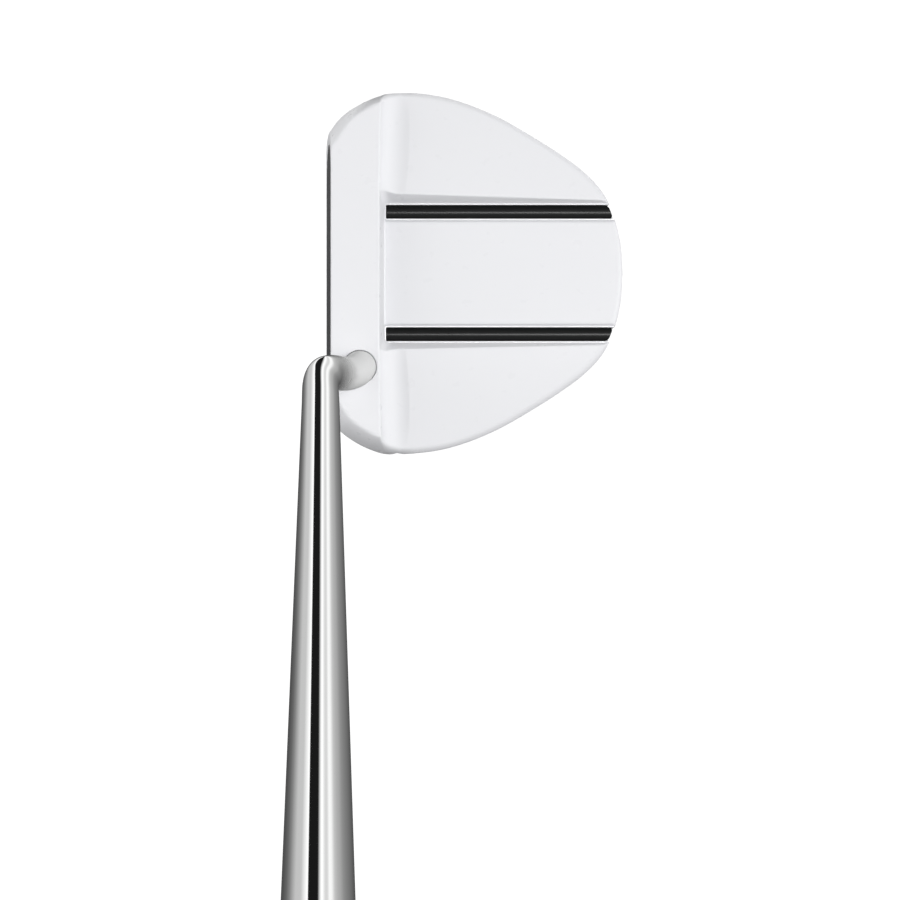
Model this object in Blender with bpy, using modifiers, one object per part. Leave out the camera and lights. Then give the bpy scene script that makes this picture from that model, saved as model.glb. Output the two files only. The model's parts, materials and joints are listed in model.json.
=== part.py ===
"""A right-handed mallet putter, modelled as the separate pieces it is assembled from.

Frame: metres, +Z up. The club stands at address with its sole on z = 0. The origin is on the
flat of the sole, +X runs from the striking face to the rear of the head, +Y to the toe.
"""

import math

import bmesh
import bpy
from mathutils import Matrix, Vector

MM = 0.001
CLUB_NAME = "mallet_putter"

# Fits. Resting and cut faces keep GAP between neighbours.
GAP = 0.3 * MM
OVERRUN = 5.0 * MM  # how far a cutter runs past the surface it opens

# Striking face: a plane that leans back by the loft.
LOFT = math.radians(3.0)
FACE_AT_SOLE = -39.1 * MM
BAR_TOP = 25.0 * MM
LEADING_EDGE_LIFT = 0.6 * MM

# Front bar of the head, seen from above. Each list runs from the face corner to the rear corner
# of the toe end; the heel end is its mirror image.
BAR_WIDEST_Z = 11.0 * MM
BAR_TOE_AT_WIDEST = [
    (-38.3, 40.5), (-34.8, 45.0), (-29.0, 48.9), (-22.3, 51.3), (-18.4, 50.4), (-17.0, 46.0),
]
BAR_TOE_AT_TOP = [
    (-37.8, 33.6), (-31.9, 41.7), (-26.9, 45.0), (-21.9, 46.9), (-18.7, 46.4), (-17.0, 43.0),
]
BAR_ROLL = 1.4  # how its ends turn in towards the top: 1 is a flat slope, 2 a quarter of an ellipse
BAR_SOLE_INSET = 0.55  # share of the widest-to-top inset that the bar's bottom edge takes
BAR_LEVELS = 12

# Crown and hull behind the bar: half outline from the front centre line to the rear tip.
CROWN_HALF = [
    (-33.0, 0.0), (-33.0, 36.0), (-27.0, 47.5), (-17.0, 51.3), (-7.1, 50.2), (1.4, 47.8),
    (10.2, 44.0), (18.8, 39.1), (27.3, 33.7), (34.2, 28.5), (39.5, 22.6), (42.8, 15.2),
    (44.5, 7.6), (45.0, 0.0),
]
CROWN_CENTRE_X = -2.0 * MM
CROWN_STEPS = 3  # points per stretch of the outline
WING_HEIGHT = 21.5 * MM  # where the wing leaves the front bar, on the centre line
WING_FALL_REARWARD = 0.052
WING_FALL_SIDEWAYS = 2.8 * MM
WING_REF_X = -18.0 * MM
WING_REF_Y = 50.0 * MM
EDGE_TUCK = 0.5 * MM  # how far the outline draws in between its widest level and the rounded edge
EDGE_ROUND = 1.5 * MM
# Hull below the crown edge: height and size relative to the outline.
HULL_LEVELS = [(0.0, 0.79), (0.9, 0.825), (4.0, 0.885), (8.0, 0.95), (11.0, 0.985), (13.6, 1.0)]
DOME_SCALES = [0.85, 0.65, 0.45, 0.25, 0.08]

# Cove between the flat top of the bar and the wings: a hollow round whose axis starts over the
# centre line, and falls and sweeps rearward towards the edge.
COVE_RADIUS = 7.0 * MM
COVE_X = -18.9 * MM
COVE_AXIS_Z = 29.6 * MM
COVE_FALL = math.radians(4.5)
COVE_SWEEP = math.radians(2.4)
COVE_HALF_SPAN = 62.0 * MM

# Channel between the wings, open at the rear, with the two alignment bars in its outer edges.
PLATFORM_Z = 17.2 * MM
LEDGE_Z = 16.5 * MM
CHANNEL_FRONT = -22.5 * MM
CHANNEL_HALF = 19.7 * MM
CHANNEL_CORNER = 2.0 * MM
WALL_SLOPE = 0.46
FRONT_WALL_SLOPE = 0.21
CHANNEL_TOP = 32.0 * MM
PLATFORM_HALF = 14.95 * MM

ALIGNMENT_INNER = 15.45 * MM
ALIGNMENT_OUTER = 19.2 * MM
ALIGNMENT_BOTTOM = 13.4 * MM
ALIGNMENT_EDGE_Z = 16.2 * MM
ALIGNMENT_CROWN = 0.55 * MM
ALIGNMENT_FRONT = -22.2 * MM
ALIGNMENT_REAR_INSET = 0.5 * MM
ALIGNMENT_GAP = 0.2 * MM

# Face insert and the pad that bonds it in, in the tilted plane of the face.
INSERT_HALF_LENGTH = 37.0 * MM
INSERT_LOW = 2.8 * MM
INSERT_HIGH = 21.8 * MM
INSERT_THICK = 2.0 * MM
PAD_THICK = 0.5 * MM
PAD_INSET = 0.6 * MM

# Sole plate over the cavity that holds the damper.
PLATE_X = (-15.0 * MM, 23.0 * MM)
PLATE_HALF = 17.5 * MM
PLATE_CORNER = 6.0 * MM
PLATE_THICK = 2.4 * MM
CAVITY_X = (-7.5 * MM, 15.5 * MM)
CAVITY_HALF = 16.0 * MM
CAVITY_CORNER = 3.0 * MM
CAVITY_TOP = 11.0 * MM
DAMPER_TOP = 9.5 * MM
PLATE_SCREW_X = (-11.3 * MM, 19.3 * MM)
PLATE_SCREW_Y = 12.0 * MM
PLATE_SCREW_HEAD_R = 2.3 * MM
PLATE_SCREW_SHANK_R = 1.2 * MM
PLATE_SCREW_HEAD = 1.4 * MM
PLATE_SCREW_TIP = 8.0 * MM
PLATE_SCREW_RECESS = 0.15 * MM
PLATE_SOCKET_R = 1.2 * MM
PLATE_SOCKET_DEPTH = 0.9 * MM

# Sole weights: headed screws that come straight out of the sole, each with a captive washer.
WEIGHT_X = -8.0 * MM
WEIGHT_Y = 29.5 * MM
WEIGHT_HEAD_R = 6.7 * MM
WEIGHT_SHANK_R = 4.0 * MM
WEIGHT_BOTTOM = 0.4 * MM
WEIGHT_HEAD_TOP = 3.4 * MM
WASHER_TOP = 4.7 * MM
WEIGHT_SEAT = 5.0 * MM
WEIGHT_TIP = 12.5 * MM
WEIGHT_HOLE_TOP = 13.5 * MM
HEX_R = 2.6 * MM
HEX_DEPTH = 2.2 * MM

# Shaft: tip parallel section, two bends near the head, steps, then the butt under the grip.
SHAFT_LEAN = math.radians(19.0)  # lie angle of 71 degrees
SHAFT_AXIS_X = -40.6 * MM
SHAFT_AXIS_Y = -8.6 * MM  # where the axis meets the ground plane
CLUB_LENGTH = 889.0 * MM
TIP_RADIUS = 4.51 * MM
BUTT_RADIUS = 7.5 * MM
SHAFT_WALL = 0.6 * MM
FIRST_STEP = 330.0 * MM
STEP_COUNT = 11
STEP_SPACING = 29.0 * MM
STEP_LENGTH = 1.0 * MM
BORE_X = -29.8 * MM
BORE_Y = -27.0 * MM
BORE_BOTTOM = 7.0 * MM
BEND_POINTS = [
    (-29.8, -27.0, 8.0), (-29.8, -27.0, 18.0), (-29.82, -27.03, 25.0), (-30.8, -28.3, 31.0),
    (-32.7, -29.35, 38.0), (-34.7, -29.85, 45.0), (-36.5, -29.95, 52.5), (-38.4, -30.3, 60.5),
    (-39.8, -31.3, 67.0),
]
BEND_STEPS = 3
STRAIGHT_START = 78.0 * MM
STRAIGHT_CLEAR = 95.0 * MM

# Bond line and plug inside the head's bore.
BOND_WALL = 0.5 * MM
BOND_TOP = 22.5 * MM
BORE_LIP_GAP = 0.3 * MM
PLUG_LENGTH = 10.0 * MM

# Grip.
GRIP_LENGTH = 267.0 * MM
TAPE_THICK = 0.3 * MM
TAPE_MARGIN = 6.0 * MM
GRIP_BORE = BUTT_RADIUS + TAPE_THICK + 2 * GAP
# Distance up the grip, half width, depth behind the axis, depth in front of it.
GRIP_SECTIONS = [
    (0.0, 9.6, 9.6, 9.4), (4.0, 10.2, 10.2, 9.7), (60.0, 10.9, 11.3, 9.8), (130.0, 12.0, 13.0, 10.0),
    (195.0, 13.1, 15.3, 10.2), (235.0, 13.8, 17.4, 10.3), (256.0, 13.9, 18.2, 10.3),
    (264.5, 13.3, 17.5, 10.0), (267.0, 11.8, 15.8, 9.0),
]
GRIP_STEPS = 2
GRIP_SIDES = 32
CAP_FLANGE_RADIUS = 8.1 * MM
CAP_DEPTH = 8.0 * MM
SHAFT_BUTT_INSET = 2.2 * MM

ROUND_SIDES = 32


def clear_scene():
    for obj in list(bpy.data.objects):
        bpy.data.objects.remove(obj, do_unlink=True)


def new_collection(name):
    collection = bpy.data.collections.new(name)
    bpy.context.scene.collection.children.link(collection)
    return collection


clear_scene()
PARTS = new_collection(CLUB_NAME)
CUTTERS = new_collection("cutters")


def material(name, colour, roughness, metallic=0.0):
    made = bpy.data.materials.new(name)
    made.use_nodes = True
    shader = made.node_tree.nodes["Principled BSDF"]
    shader.inputs["Base Color"].default_value = (*colour, 1.0)
    shader.inputs["Roughness"].default_value = roughness
    shader.inputs["Metallic"].default_value = metallic
    return made


WHITE_PAINT = material("white_paint", (0.86, 0.86, 0.88), 0.3)
BLACK_BAR = material("black_bar", (0.012, 0.012, 0.012), 0.25)
INSERT_DARK = material("insert_dark", (0.03, 0.03, 0.032), 0.5)
ADHESIVE = material("adhesive", (0.55, 0.50, 0.38), 0.6)
PLATE_METAL = material("plate_metal", (0.62, 0.63, 0.65), 0.35, 1.0)
SCREW_STEEL = material("screw_steel", (0.45, 0.45, 0.46), 0.35, 1.0)
WEIGHT_STEEL = material("weight_steel", (0.56, 0.57, 0.58), 0.3, 1.0)
WASHER_RUBBER = material("washer_rubber", (0.05, 0.05, 0.05), 0.7)
DAMPER_RUBBER = material("damper_rubber", (0.04, 0.04, 0.045), 0.8)
CHROME = material("chrome", (0.8, 0.81, 0.8), 0.06, 1.0)
PLUG_PLASTIC = material("plug_plastic", (0.7, 0.68, 0.6), 0.5)
TAPE = material("tape", (0.75, 0.70, 0.58), 0.7)
GRIP_RUBBER = material("grip_rubber", (0.03, 0.03, 0.03), 0.75)


def add_part(name, mesh, look):
    """One named piece of the club."""
    part = bpy.data.objects.new(name, mesh)
    PARTS.objects.link(part)
    mesh.materials.clear()
    mesh.materials.append(look)
    return part


def add_cutter(name, mesh):
    """A helper shape for a Boolean, left out of the club itself."""
    cutter = bpy.data.objects.new(name, mesh)
    CUTTERS.objects.link(cutter)
    cutter.hide_render = True
    cutter.display_type = "WIRE"
    return cutter


def boolean(target, tool, operation):
    modifier = target.modifiers.new(tool.name, "BOOLEAN")
    modifier.operation = operation
    modifier.object = tool
    modifier.solver = "EXACT"


def cut(target, *cutters):
    for cutter in cutters:
        boolean(target, cutter, "DIFFERENCE")


def shade_smooth(part, sharp_degrees=35):
    part.data.shade_smooth()
    part.data.set_sharp_from_angle(angle=math.radians(sharp_degrees))


def mesh_from(name, bm):
    bmesh.ops.recalc_face_normals(bm, faces=bm.faces)
    mesh = bpy.data.meshes.new(name)
    bm.to_mesh(mesh)
    bm.free()
    return mesh


def loft(name, rings):
    """A closed mesh through rings of equally many points, capped at both ends."""
    bm = bmesh.new()
    rows = [[bm.verts.new(point) for point in ring] for ring in rings]
    count = len(rows[0])
    for lower, upper in zip(rows, rows[1:]):
        for i in range(count):
            j = (i + 1) % count
            bm.faces.new((lower[i], lower[j], upper[j], upper[i]))
    bm.faces.new(rows[0])
    bm.faces.new(rows[-1])
    return mesh_from(name, bm)


def plate(name, outline, low, high):
    """A flat plate with this outline, from one height to another."""
    curve = bpy.data.curves.new(name, "CURVE")
    curve.dimensions = "2D"
    curve.fill_mode = "BOTH"
    curve.extrude = (high - low) / 2
    spline = curve.splines.new("POLY")
    spline.points.add(len(outline) - 1)
    for point, (x, y) in zip(spline.points, outline):
        point.co = (x, y, 0.0, 1.0)
    spline.use_cyclic_u = True
    mesh = mesh_of_curve(curve)
    mesh.transform(Matrix.Translation((0.0, 0.0, (low + high) / 2)))
    return mesh


def mesh_of_curve(curve):
    """The curve's evaluated mesh, with its caps welded on."""
    holder = bpy.data.objects.new(curve.name, curve)
    bpy.context.scene.collection.objects.link(holder)
    graph = bpy.context.evaluated_depsgraph_get()
    mesh = bpy.data.meshes.new_from_object(holder.evaluated_get(graph))
    bpy.data.objects.remove(holder, do_unlink=True)
    bm = bmesh.new()
    bm.from_mesh(mesh)
    bmesh.ops.remove_doubles(bm, verts=bm.verts, dist=1e-7)
    bmesh.ops.recalc_face_normals(bm, faces=bm.faces)
    bm.to_mesh(mesh)
    bm.free()
    return mesh


def cylinder(name, radius, low, high, x=0.0, y=0.0, sides=ROUND_SIDES, low_radius=None):
    """A round or cone-shaped cutter standing on end."""
    bm = bmesh.new()
    bottom = radius if low_radius is None else low_radius
    bmesh.ops.create_cone(
        bm, cap_ends=True, segments=sides, radius1=bottom, radius2=radius, depth=high - low
    )
    bmesh.ops.translate(bm, verts=bm.verts, vec=(x, y, (low + high) / 2))
    return add_cutter(name, mesh_from(name, bm))


def turned(name, profile, look, closed=False):
    """A turned piece: the profile, in radius and height, spun about the object's own Z axis."""
    mesh = bpy.data.meshes.new(name)
    points = [(radius, 0.0, height) for radius, height in profile]
    edges = [(i, i + 1) for i in range(len(points) - 1)]
    if closed:
        edges.append((len(points) - 1, 0))
    mesh.from_pydata(points, edges, [])
    piece = add_part(name, mesh, look)
    screw = piece.modifiers.new("turn", "SCREW")
    screw.axis = "Z"
    screw.steps = ROUND_SIDES
    screw.render_steps = ROUND_SIDES
    screw.use_merge_vertices = True
    screw.merge_threshold = 1e-5
    screw.use_smooth_shade = True
    return piece


def smooth_path(points, steps):
    """Points along a Catmull-Rom curve that passes through all the given points."""
    knots = [Vector(point) for point in points]
    before = 2 * knots[0] - knots[1]
    after = 2 * knots[-1] - knots[-2]
    knots = [before, *knots, after]
    path = []
    for a, b, c, d in zip(knots, knots[1:], knots[2:], knots[3:]):
        for step in range(steps):
            t = step / steps
            pull = (c - a) * t + (2 * a - 5 * b + 4 * c - d) * t**2 + (3 * b - a - 3 * c + d) * t**3
            path.append(b + pull / 2)
    path.append(knots[-2])
    return path


def mirrored(half):
    """A closed outline from its toe half; points on the centre line are kept once."""
    heel = [(x, -y) for x, y in reversed(half) if y > 1e-6]
    return [tuple(point) for point in half] + heel


def rounded_rectangle(x_low, x_high, half_width, corner, steps=6):
    """Outline of a rectangle centred on y = 0, with round corners."""
    outline = []
    corners = [
        (x_high - corner, half_width - corner, 0),
        (x_low + corner, half_width - corner, 90),
        (x_low + corner, corner - half_width, 180),
        (x_high - corner, corner - half_width, 270),
    ]
    for x, y, start in corners:
        for step in range(steps + 1):
            angle = math.radians(start + 90 * step / steps)
            outline.append((x + corner * math.cos(angle), y + corner * math.sin(angle)))
    return outline


# ---------------------------------------------------------------- head


def face_x(z):
    """The plane of the striking face."""
    return FACE_AT_SOLE + z * math.tan(LOFT)


def bar_ring(z):
    """Outline of the front bar at one height: its ends round over towards the top and the sole."""
    if z >= BAR_WIDEST_Z:
        share = (z - BAR_WIDEST_Z) / (BAR_TOP - BAR_WIDEST_Z)
        inset = 1 - max(0.0, 1 - share**BAR_ROLL) ** (1 / BAR_ROLL)
    else:
        share = (BAR_WIDEST_Z - z) / (BAR_WIDEST_Z - LEADING_EDGE_LIFT)
        inset = BAR_SOLE_INSET * (1 - math.sqrt(max(0.0, 1 - share**2)))
    widest = smooth_path(BAR_TOE_AT_WIDEST, 3)
    top = smooth_path(BAR_TOE_AT_TOP, 3)
    toe_end = [a.lerp(b, inset) * MM for a, b in zip(widest, top)]
    toe_end[0].x = face_x(z)
    outline = [(point.x, point.y) for point in toe_end]
    outline += [(x, -y) for x, y in reversed(outline)]
    return [(x, y, z) for x, y in outline]


def bar_heights():
    """Heights of the bar's rings, closer together where its ends turn in."""
    heights = []
    for level in range(BAR_LEVELS + 1):
        angle = math.pi * level / BAR_LEVELS
        swing = -math.cos(angle)
        reach = BAR_TOP - BAR_WIDEST_Z if swing > 0 else BAR_WIDEST_Z - LEADING_EDGE_LIFT
        heights.append(BAR_WIDEST_Z + swing * reach)
    return heights


def crown_outline():
    """The crown's outline, from the front centre line round by the toe, the rear and the heel."""
    half = [(x * MM, y * MM) for x, y in smooth_path(CROWN_HALF, CROWN_STEPS)]
    return mirrored(half)


def wing_height(x, y):
    """The top of the crown: highest behind the bar, falling rearward and to the sides."""
    rearward = WING_FALL_REARWARD * (x - WING_REF_X)
    return WING_HEIGHT - rearward - WING_FALL_SIDEWAYS * (y / WING_REF_Y) ** 2


def scaled(outline, scale):
    return [(CROWN_CENTRE_X + (x - CROWN_CENTRE_X) * scale, y * scale) for x, y in outline]


def crown_rings():
    outline = crown_outline()
    rings = []
    for height, scale in HULL_LEVELS:
        rings.append([(x, y, height * MM) for x, y in scaled(outline, scale)])
    reach = max(x for x, _ in outline) - CROWN_CENTRE_X
    for degrees in (0, 30, 60, 90):
        angle = math.radians(degrees)
        inset = EDGE_TUCK + EDGE_ROUND * (1 - math.cos(angle))
        drop = EDGE_ROUND * (1 - math.sin(angle))
        ring = scaled(outline, 1 - inset / reach)
        rings.append([(x, y, wing_height(x, y) - drop) for x, y in ring])
    for scale in DOME_SCALES:
        rings.append([(x, y, wing_height(x, y)) for x, y in scaled(outline, scale)])
    return rings


def cove_cutter(side):
    """The hollow round between bar and wing on the toe (+1) or heel (-1) side."""
    name = "cove_toe" if side > 0 else "cove_heel"
    cove = cylinder(name, COVE_RADIUS, 0.0, COVE_HALF_SPAN, sides=64)
    cove.rotation_euler = (-side * (math.pi / 2 + COVE_FALL), 0.0, -side * COVE_SWEEP)
    cove.location = (COVE_X, 0.0, COVE_AXIS_Z)
    return cove


def channel_ring(z):
    """Outline of the drafted channel at one height above its floor."""
    rise = z - LEDGE_Z
    half = CHANNEL_HALF + WALL_SLOPE * rise
    front = CHANNEL_FRONT - FRONT_WALL_SLOPE * rise
    outline = rounded_rectangle(front, 80.0 * MM, half, CHANNEL_CORNER, steps=4)
    return [(x, y, z) for x, y in outline]


def channel_cutter():
    """The channel down to the ledges along its sides, sparing the platform between them."""
    rings = [channel_ring(LEDGE_Z), channel_ring(CHANNEL_TOP)]
    channel = add_cutter("channel", loft("channel", rings))
    platform = rounded_rectangle(-60.0 * MM, 100.0 * MM, PLATFORM_HALF, 1.0 * MM)
    cut(channel, add_cutter("platform", plate("platform", platform, 0.0, PLATFORM_Z)))
    return channel


def rear_edge_x(y, inset):
    """Where the crown's rear edge lies at this distance from the centre line."""
    half = [(px, py) for px, py in crown_outline() if px > 0 and py >= 0]
    for (x1, y1), (x2, y2) in zip(half, half[1:]):
        if y2 <= abs(y) <= y1:
            return x1 + (x2 - x1) * (y1 - abs(y)) / (y1 - y2) - inset
    return half[-1][0] - inset


def alignment_section():
    """Cross-section of an alignment bar as (y, z): flat below, gently round on top."""
    middle = (ALIGNMENT_INNER + ALIGNMENT_OUTER) / 2
    half = ALIGNMENT_OUTER - middle
    section = [(ALIGNMENT_INNER, ALIGNMENT_BOTTOM), (ALIGNMENT_OUTER, ALIGNMENT_BOTTOM)]
    for step in range(7):
        across = 1 - step / 3
        z = ALIGNMENT_EDGE_Z + ALIGNMENT_CROWN * (1 - across**2)
        section.append((middle + across * half, z))
    return section


def alignment_bar(side, name):
    """A bar that ends square in front and follows the crown's edge at the rear."""
    section = alignment_section()
    front = [(ALIGNMENT_FRONT, side * y, z) for y, z in section]
    rear = [(rear_edge_x(y, ALIGNMENT_REAR_INSET), side * y, z) for y, z in section]
    bar = add_part(name, loft(name, [front, rear]), BLACK_BAR)
    shade_smooth(bar)
    return bar


def alignment_groove(side, name):
    """The groove that a bar sits in, open above and through the rear edge."""
    inner = ALIGNMENT_INNER - ALIGNMENT_GAP
    outer = ALIGNMENT_OUTER + ALIGNMENT_GAP
    front = ALIGNMENT_FRONT - ALIGNMENT_GAP
    rear = 50.0 * MM
    corners = [(front, inner), (rear, inner), (rear, outer), (front, outer)]
    outline = [(x, side * y) for x, y in corners]
    return add_cutter(name, plate(name, outline, ALIGNMENT_BOTTOM - ALIGNMENT_GAP, BAR_TOP - OVERRUN))


def insert_outline(inset):
    """Insert outline in the plane of the face: a long slot shape with round ends."""
    radius = (INSERT_HIGH - INSERT_LOW) / 2 - inset
    middle = (INSERT_HIGH + INSERT_LOW) / 2
    straight = INSERT_HALF_LENGTH - inset - radius
    outline = []
    for end, start in ((1, -90), (-1, 90)):
        for step in range(13):
            angle = math.radians(start + 180 * step / 12)
            x = end * straight + radius * math.cos(angle)
            outline.append((x, middle + radius * math.sin(angle)))
    return outline


def onto_face(mesh):
    """Turns a plate drawn flat into the face: its X to the toe, its Y up the face, its Z inward."""
    to_toe = Vector((0.0, 1.0, 0.0))
    up_face = Vector((math.sin(LOFT), 0.0, math.cos(LOFT)))
    inward = to_toe.cross(up_face)
    turn = Matrix((to_toe, up_face, inward)).transposed().to_4x4()
    mesh.transform(Matrix.Translation((FACE_AT_SOLE, 0.0, 0.0)) @ turn)
    return mesh


def face_plate(name, inset, shallow, deep):
    """A plate let into the face, between two depths behind it."""
    return onto_face(plate(name, insert_outline(inset), shallow, deep))


def shaft_bore():
    lip_radius = TIP_RADIUS + BORE_LIP_GAP
    deep_radius = TIP_RADIUS + BOND_WALL + 2 * GAP
    lip = cylinder("bore_lip", lip_radius, BOND_TOP, BAR_TOP + OVERRUN, BORE_X, BORE_Y)
    deep = cylinder("bore_deep", deep_radius, BORE_BOTTOM, BOND_TOP + GAP, BORE_X, BORE_Y)
    return [lip, deep]


def sole_cutters():
    """Recess for the sole plate, the cavity above it and the plate's four screw holes."""
    recess = rounded_rectangle(
        PLATE_X[0] - GAP, PLATE_X[1] + GAP, PLATE_HALF + GAP, PLATE_CORNER + GAP
    )
    cavity = rounded_rectangle(*CAVITY_X, CAVITY_HALF, CAVITY_CORNER)
    cutters = [
        add_cutter("plate_recess", plate("plate_recess", recess, -OVERRUN, PLATE_THICK + GAP)),
        add_cutter("damper_cavity", plate("damper_cavity", cavity, 0.0, CAVITY_TOP)),
    ]
    radius = PLATE_SCREW_SHANK_R + GAP
    for i, (x, y) in enumerate(plate_screw_places()):
        name = f"plate_screw_hole_{i + 1}"
        cutters.append(cylinder(name, radius, 0.0, PLATE_SCREW_TIP + GAP, x, y, sides=16))
    return cutters


def plate_screw_places():
    return [(x, y) for x in PLATE_SCREW_X for y in (PLATE_SCREW_Y, -PLATE_SCREW_Y)]


def weight_cutters(side, end):
    y = side * WEIGHT_Y
    pocket = cylinder(f"weight_pocket_{end}", WEIGHT_HEAD_R + GAP, -OVERRUN, WEIGHT_SEAT, WEIGHT_X, y)
    thread = cylinder(f"weight_thread_{end}", WEIGHT_SHANK_R + GAP, 0.0, WEIGHT_HOLE_TOP, WEIGHT_X, y)
    return [pocket, thread]


def head_body():
    bar_rings = [bar_ring(z) for z in bar_heights()]
    head = add_part("head_body", loft("head_body", bar_rings), WHITE_PAINT)
    crown = add_cutter("crown_and_hull", loft("crown_and_hull", crown_rings()))
    boolean(head, crown, "UNION")
    cut(head, cove_cutter(1), cove_cutter(-1))
    cut(head, channel_cutter())
    cut(head, alignment_groove(1, "groove_toe"), alignment_groove(-1, "groove_heel"))
    pocket = face_plate("insert_pocket", -GAP, -OVERRUN, INSERT_THICK + PAD_THICK + 2 * GAP)
    cut(head, add_cutter("insert_pocket", pocket))
    cut(head, *shaft_bore())
    cut(head, *sole_cutters())
    cut(head, *weight_cutters(1, "toe"), *weight_cutters(-1, "heel"))
    shade_smooth(head)
    return head


def face_pieces():
    insert = add_part("face_insert", face_plate("face_insert", 0.0, 0.0, INSERT_THICK), INSERT_DARK)
    behind = INSERT_THICK + GAP
    pad_mesh = face_plate("insert_bond_pad", PAD_INSET, behind, behind + PAD_THICK)
    pad = add_part("insert_bond_pad", pad_mesh, ADHESIVE)
    return [insert, pad]


# ---------------------------------------------------------------- sole


def sole_plate():
    outline = rounded_rectangle(*PLATE_X, PLATE_HALF, PLATE_CORNER)
    cover = add_part("sole_plate", plate("sole_plate", outline, 0.0, PLATE_THICK), PLATE_METAL)
    narrow = PLATE_SCREW_SHANK_R + GAP
    wide = PLATE_SCREW_HEAD_R + 2 * GAP
    neck = PLATE_SCREW_RECESS + PLATE_SCREW_HEAD
    for i, (x, y) in enumerate(plate_screw_places()):
        countersink = cylinder(f"countersink_{i + 1}", narrow, -GAP, neck, x, y, low_radius=wide)
        through = cylinder(f"plate_hole_{i + 1}", narrow, -OVERRUN, OVERRUN, x, y, sides=16)
        cut(cover, countersink, through)
    return cover


def plate_screw(number, x, y):
    """A countersunk screw, driven from below."""
    name = f"sole_plate_screw_{number}"
    neck = PLATE_SCREW_RECESS + PLATE_SCREW_HEAD
    profile = [
        (0.0, PLATE_SCREW_TIP),
        (PLATE_SCREW_SHANK_R * 0.6, PLATE_SCREW_TIP),
        (PLATE_SCREW_SHANK_R, PLATE_SCREW_TIP - 0.8 * MM),
        (PLATE_SCREW_SHANK_R, neck),
        (PLATE_SCREW_HEAD_R, PLATE_SCREW_RECESS + 0.2 * MM),
        (PLATE_SCREW_HEAD_R, PLATE_SCREW_RECESS),
        (0.0, PLATE_SCREW_RECESS),
    ]
    screw = turned(name, profile, SCREW_STEEL)
    screw.location = (x, y, 0.0)
    top = PLATE_SCREW_RECESS + PLATE_SOCKET_DEPTH
    cut(screw, cylinder(f"plate_socket_{number}", PLATE_SOCKET_R, -OVERRUN, top, x, y, sides=6))
    return screw


def cavity_damper():
    outline = rounded_rectangle(
        CAVITY_X[0] + GAP, CAVITY_X[1] - GAP, CAVITY_HALF - GAP, CAVITY_CORNER - GAP
    )
    mesh = plate("cavity_damper", outline, PLATE_THICK + GAP, DAMPER_TOP)
    return add_part("cavity_damper", mesh, DAMPER_RUBBER)


def weight_set(side, end):
    """A sole weight and its washer; both turn about or slide along their own origin's Z."""
    y = side * WEIGHT_Y
    chamfer = 0.5 * MM
    profile = [
        (0.0, WEIGHT_TIP),
        (WEIGHT_SHANK_R - chamfer, WEIGHT_TIP),
        (WEIGHT_SHANK_R, WEIGHT_TIP - chamfer),
        (WEIGHT_SHANK_R, WEIGHT_HEAD_TOP),
        (WEIGHT_HEAD_R, WEIGHT_HEAD_TOP),
        (WEIGHT_HEAD_R, WEIGHT_BOTTOM + chamfer),
        (WEIGHT_HEAD_R - chamfer, WEIGHT_BOTTOM),
        (0.0, WEIGHT_BOTTOM),
    ]
    weight = turned(f"{end}_weight_screw", profile, WEIGHT_STEEL)
    weight.location = (WEIGHT_X, y, 0.0)
    top = WEIGHT_BOTTOM + HEX_DEPTH
    cut(weight, cylinder(f"hex_socket_{end}", HEX_R, -OVERRUN, top, WEIGHT_X, y, sides=6))
    inner = WEIGHT_SHANK_R + GAP
    low, high = WEIGHT_HEAD_TOP + GAP, WASHER_TOP
    ring = [(WEIGHT_HEAD_R, high), (WEIGHT_HEAD_R, low), (inner, low), (inner, high)]
    washer = turned(f"{end}_weight_washer", ring, WASHER_RUBBER, closed=True)
    washer.location = (WEIGHT_X, y, 0.0)
    return weight, washer


# ---------------------------------------------------------------- shaft and grip


def shaft_axis_empty():
    """An empty where the shaft's axis meets the ground, its Z running up the shaft."""
    empty = bpy.data.objects.new("shaft_axis", None)
    PARTS.objects.link(empty)
    empty.location = (SHAFT_AXIS_X, SHAFT_AXIS_Y, 0.0)
    empty.rotation_euler = (SHAFT_LEAN, 0.0, 0.0)
    bpy.context.view_layer.update()
    return empty


def on_axis(distance):
    """A point this far up the shaft's straight axis from the ground."""
    up = Vector((0.0, -math.sin(SHAFT_LEAN), math.cos(SHAFT_LEAN)))
    return Vector((SHAFT_AXIS_X, SHAFT_AXIS_Y, 0.0)) + distance * up


def shaft_route():
    """Points up the middle of the shaft with the outer radius at each."""
    bends = [Vector(point) * MM for point in BEND_POINTS]
    bends += [on_axis(STRAIGHT_START), on_axis(STRAIGHT_CLEAR)]
    route = [(point, TIP_RADIUS) for point in smooth_path(bends, BEND_STEPS)]
    growth = (BUTT_RADIUS - TIP_RADIUS) / STEP_COUNT
    for step in range(STEP_COUNT):
        distance = FIRST_STEP + step * STEP_SPACING
        route.append((on_axis(distance), TIP_RADIUS + step * growth))
        route.append((on_axis(distance + STEP_LENGTH), TIP_RADIUS + (step + 1) * growth))
    route.append((on_axis(CLUB_LENGTH - SHAFT_BUTT_INSET), BUTT_RADIUS))
    return route


def tube_mesh(name, route, thinner):
    """A solid round bar along the route, thinner than it by this much all round."""
    curve = bpy.data.curves.new(name, "CURVE")
    curve.dimensions = "3D"
    curve.bevel_depth = 1.0
    curve.bevel_resolution = 8
    curve.use_fill_caps = True
    curve.twist_mode = "MINIMUM"
    spline = curve.splines.new("POLY")
    spline.points.add(len(route) - 1)
    for point, (place, radius) in zip(spline.points, route):
        point.co = (*place, 1.0)
        point.radius = radius - thinner
    return mesh_of_curve(curve)


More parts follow.
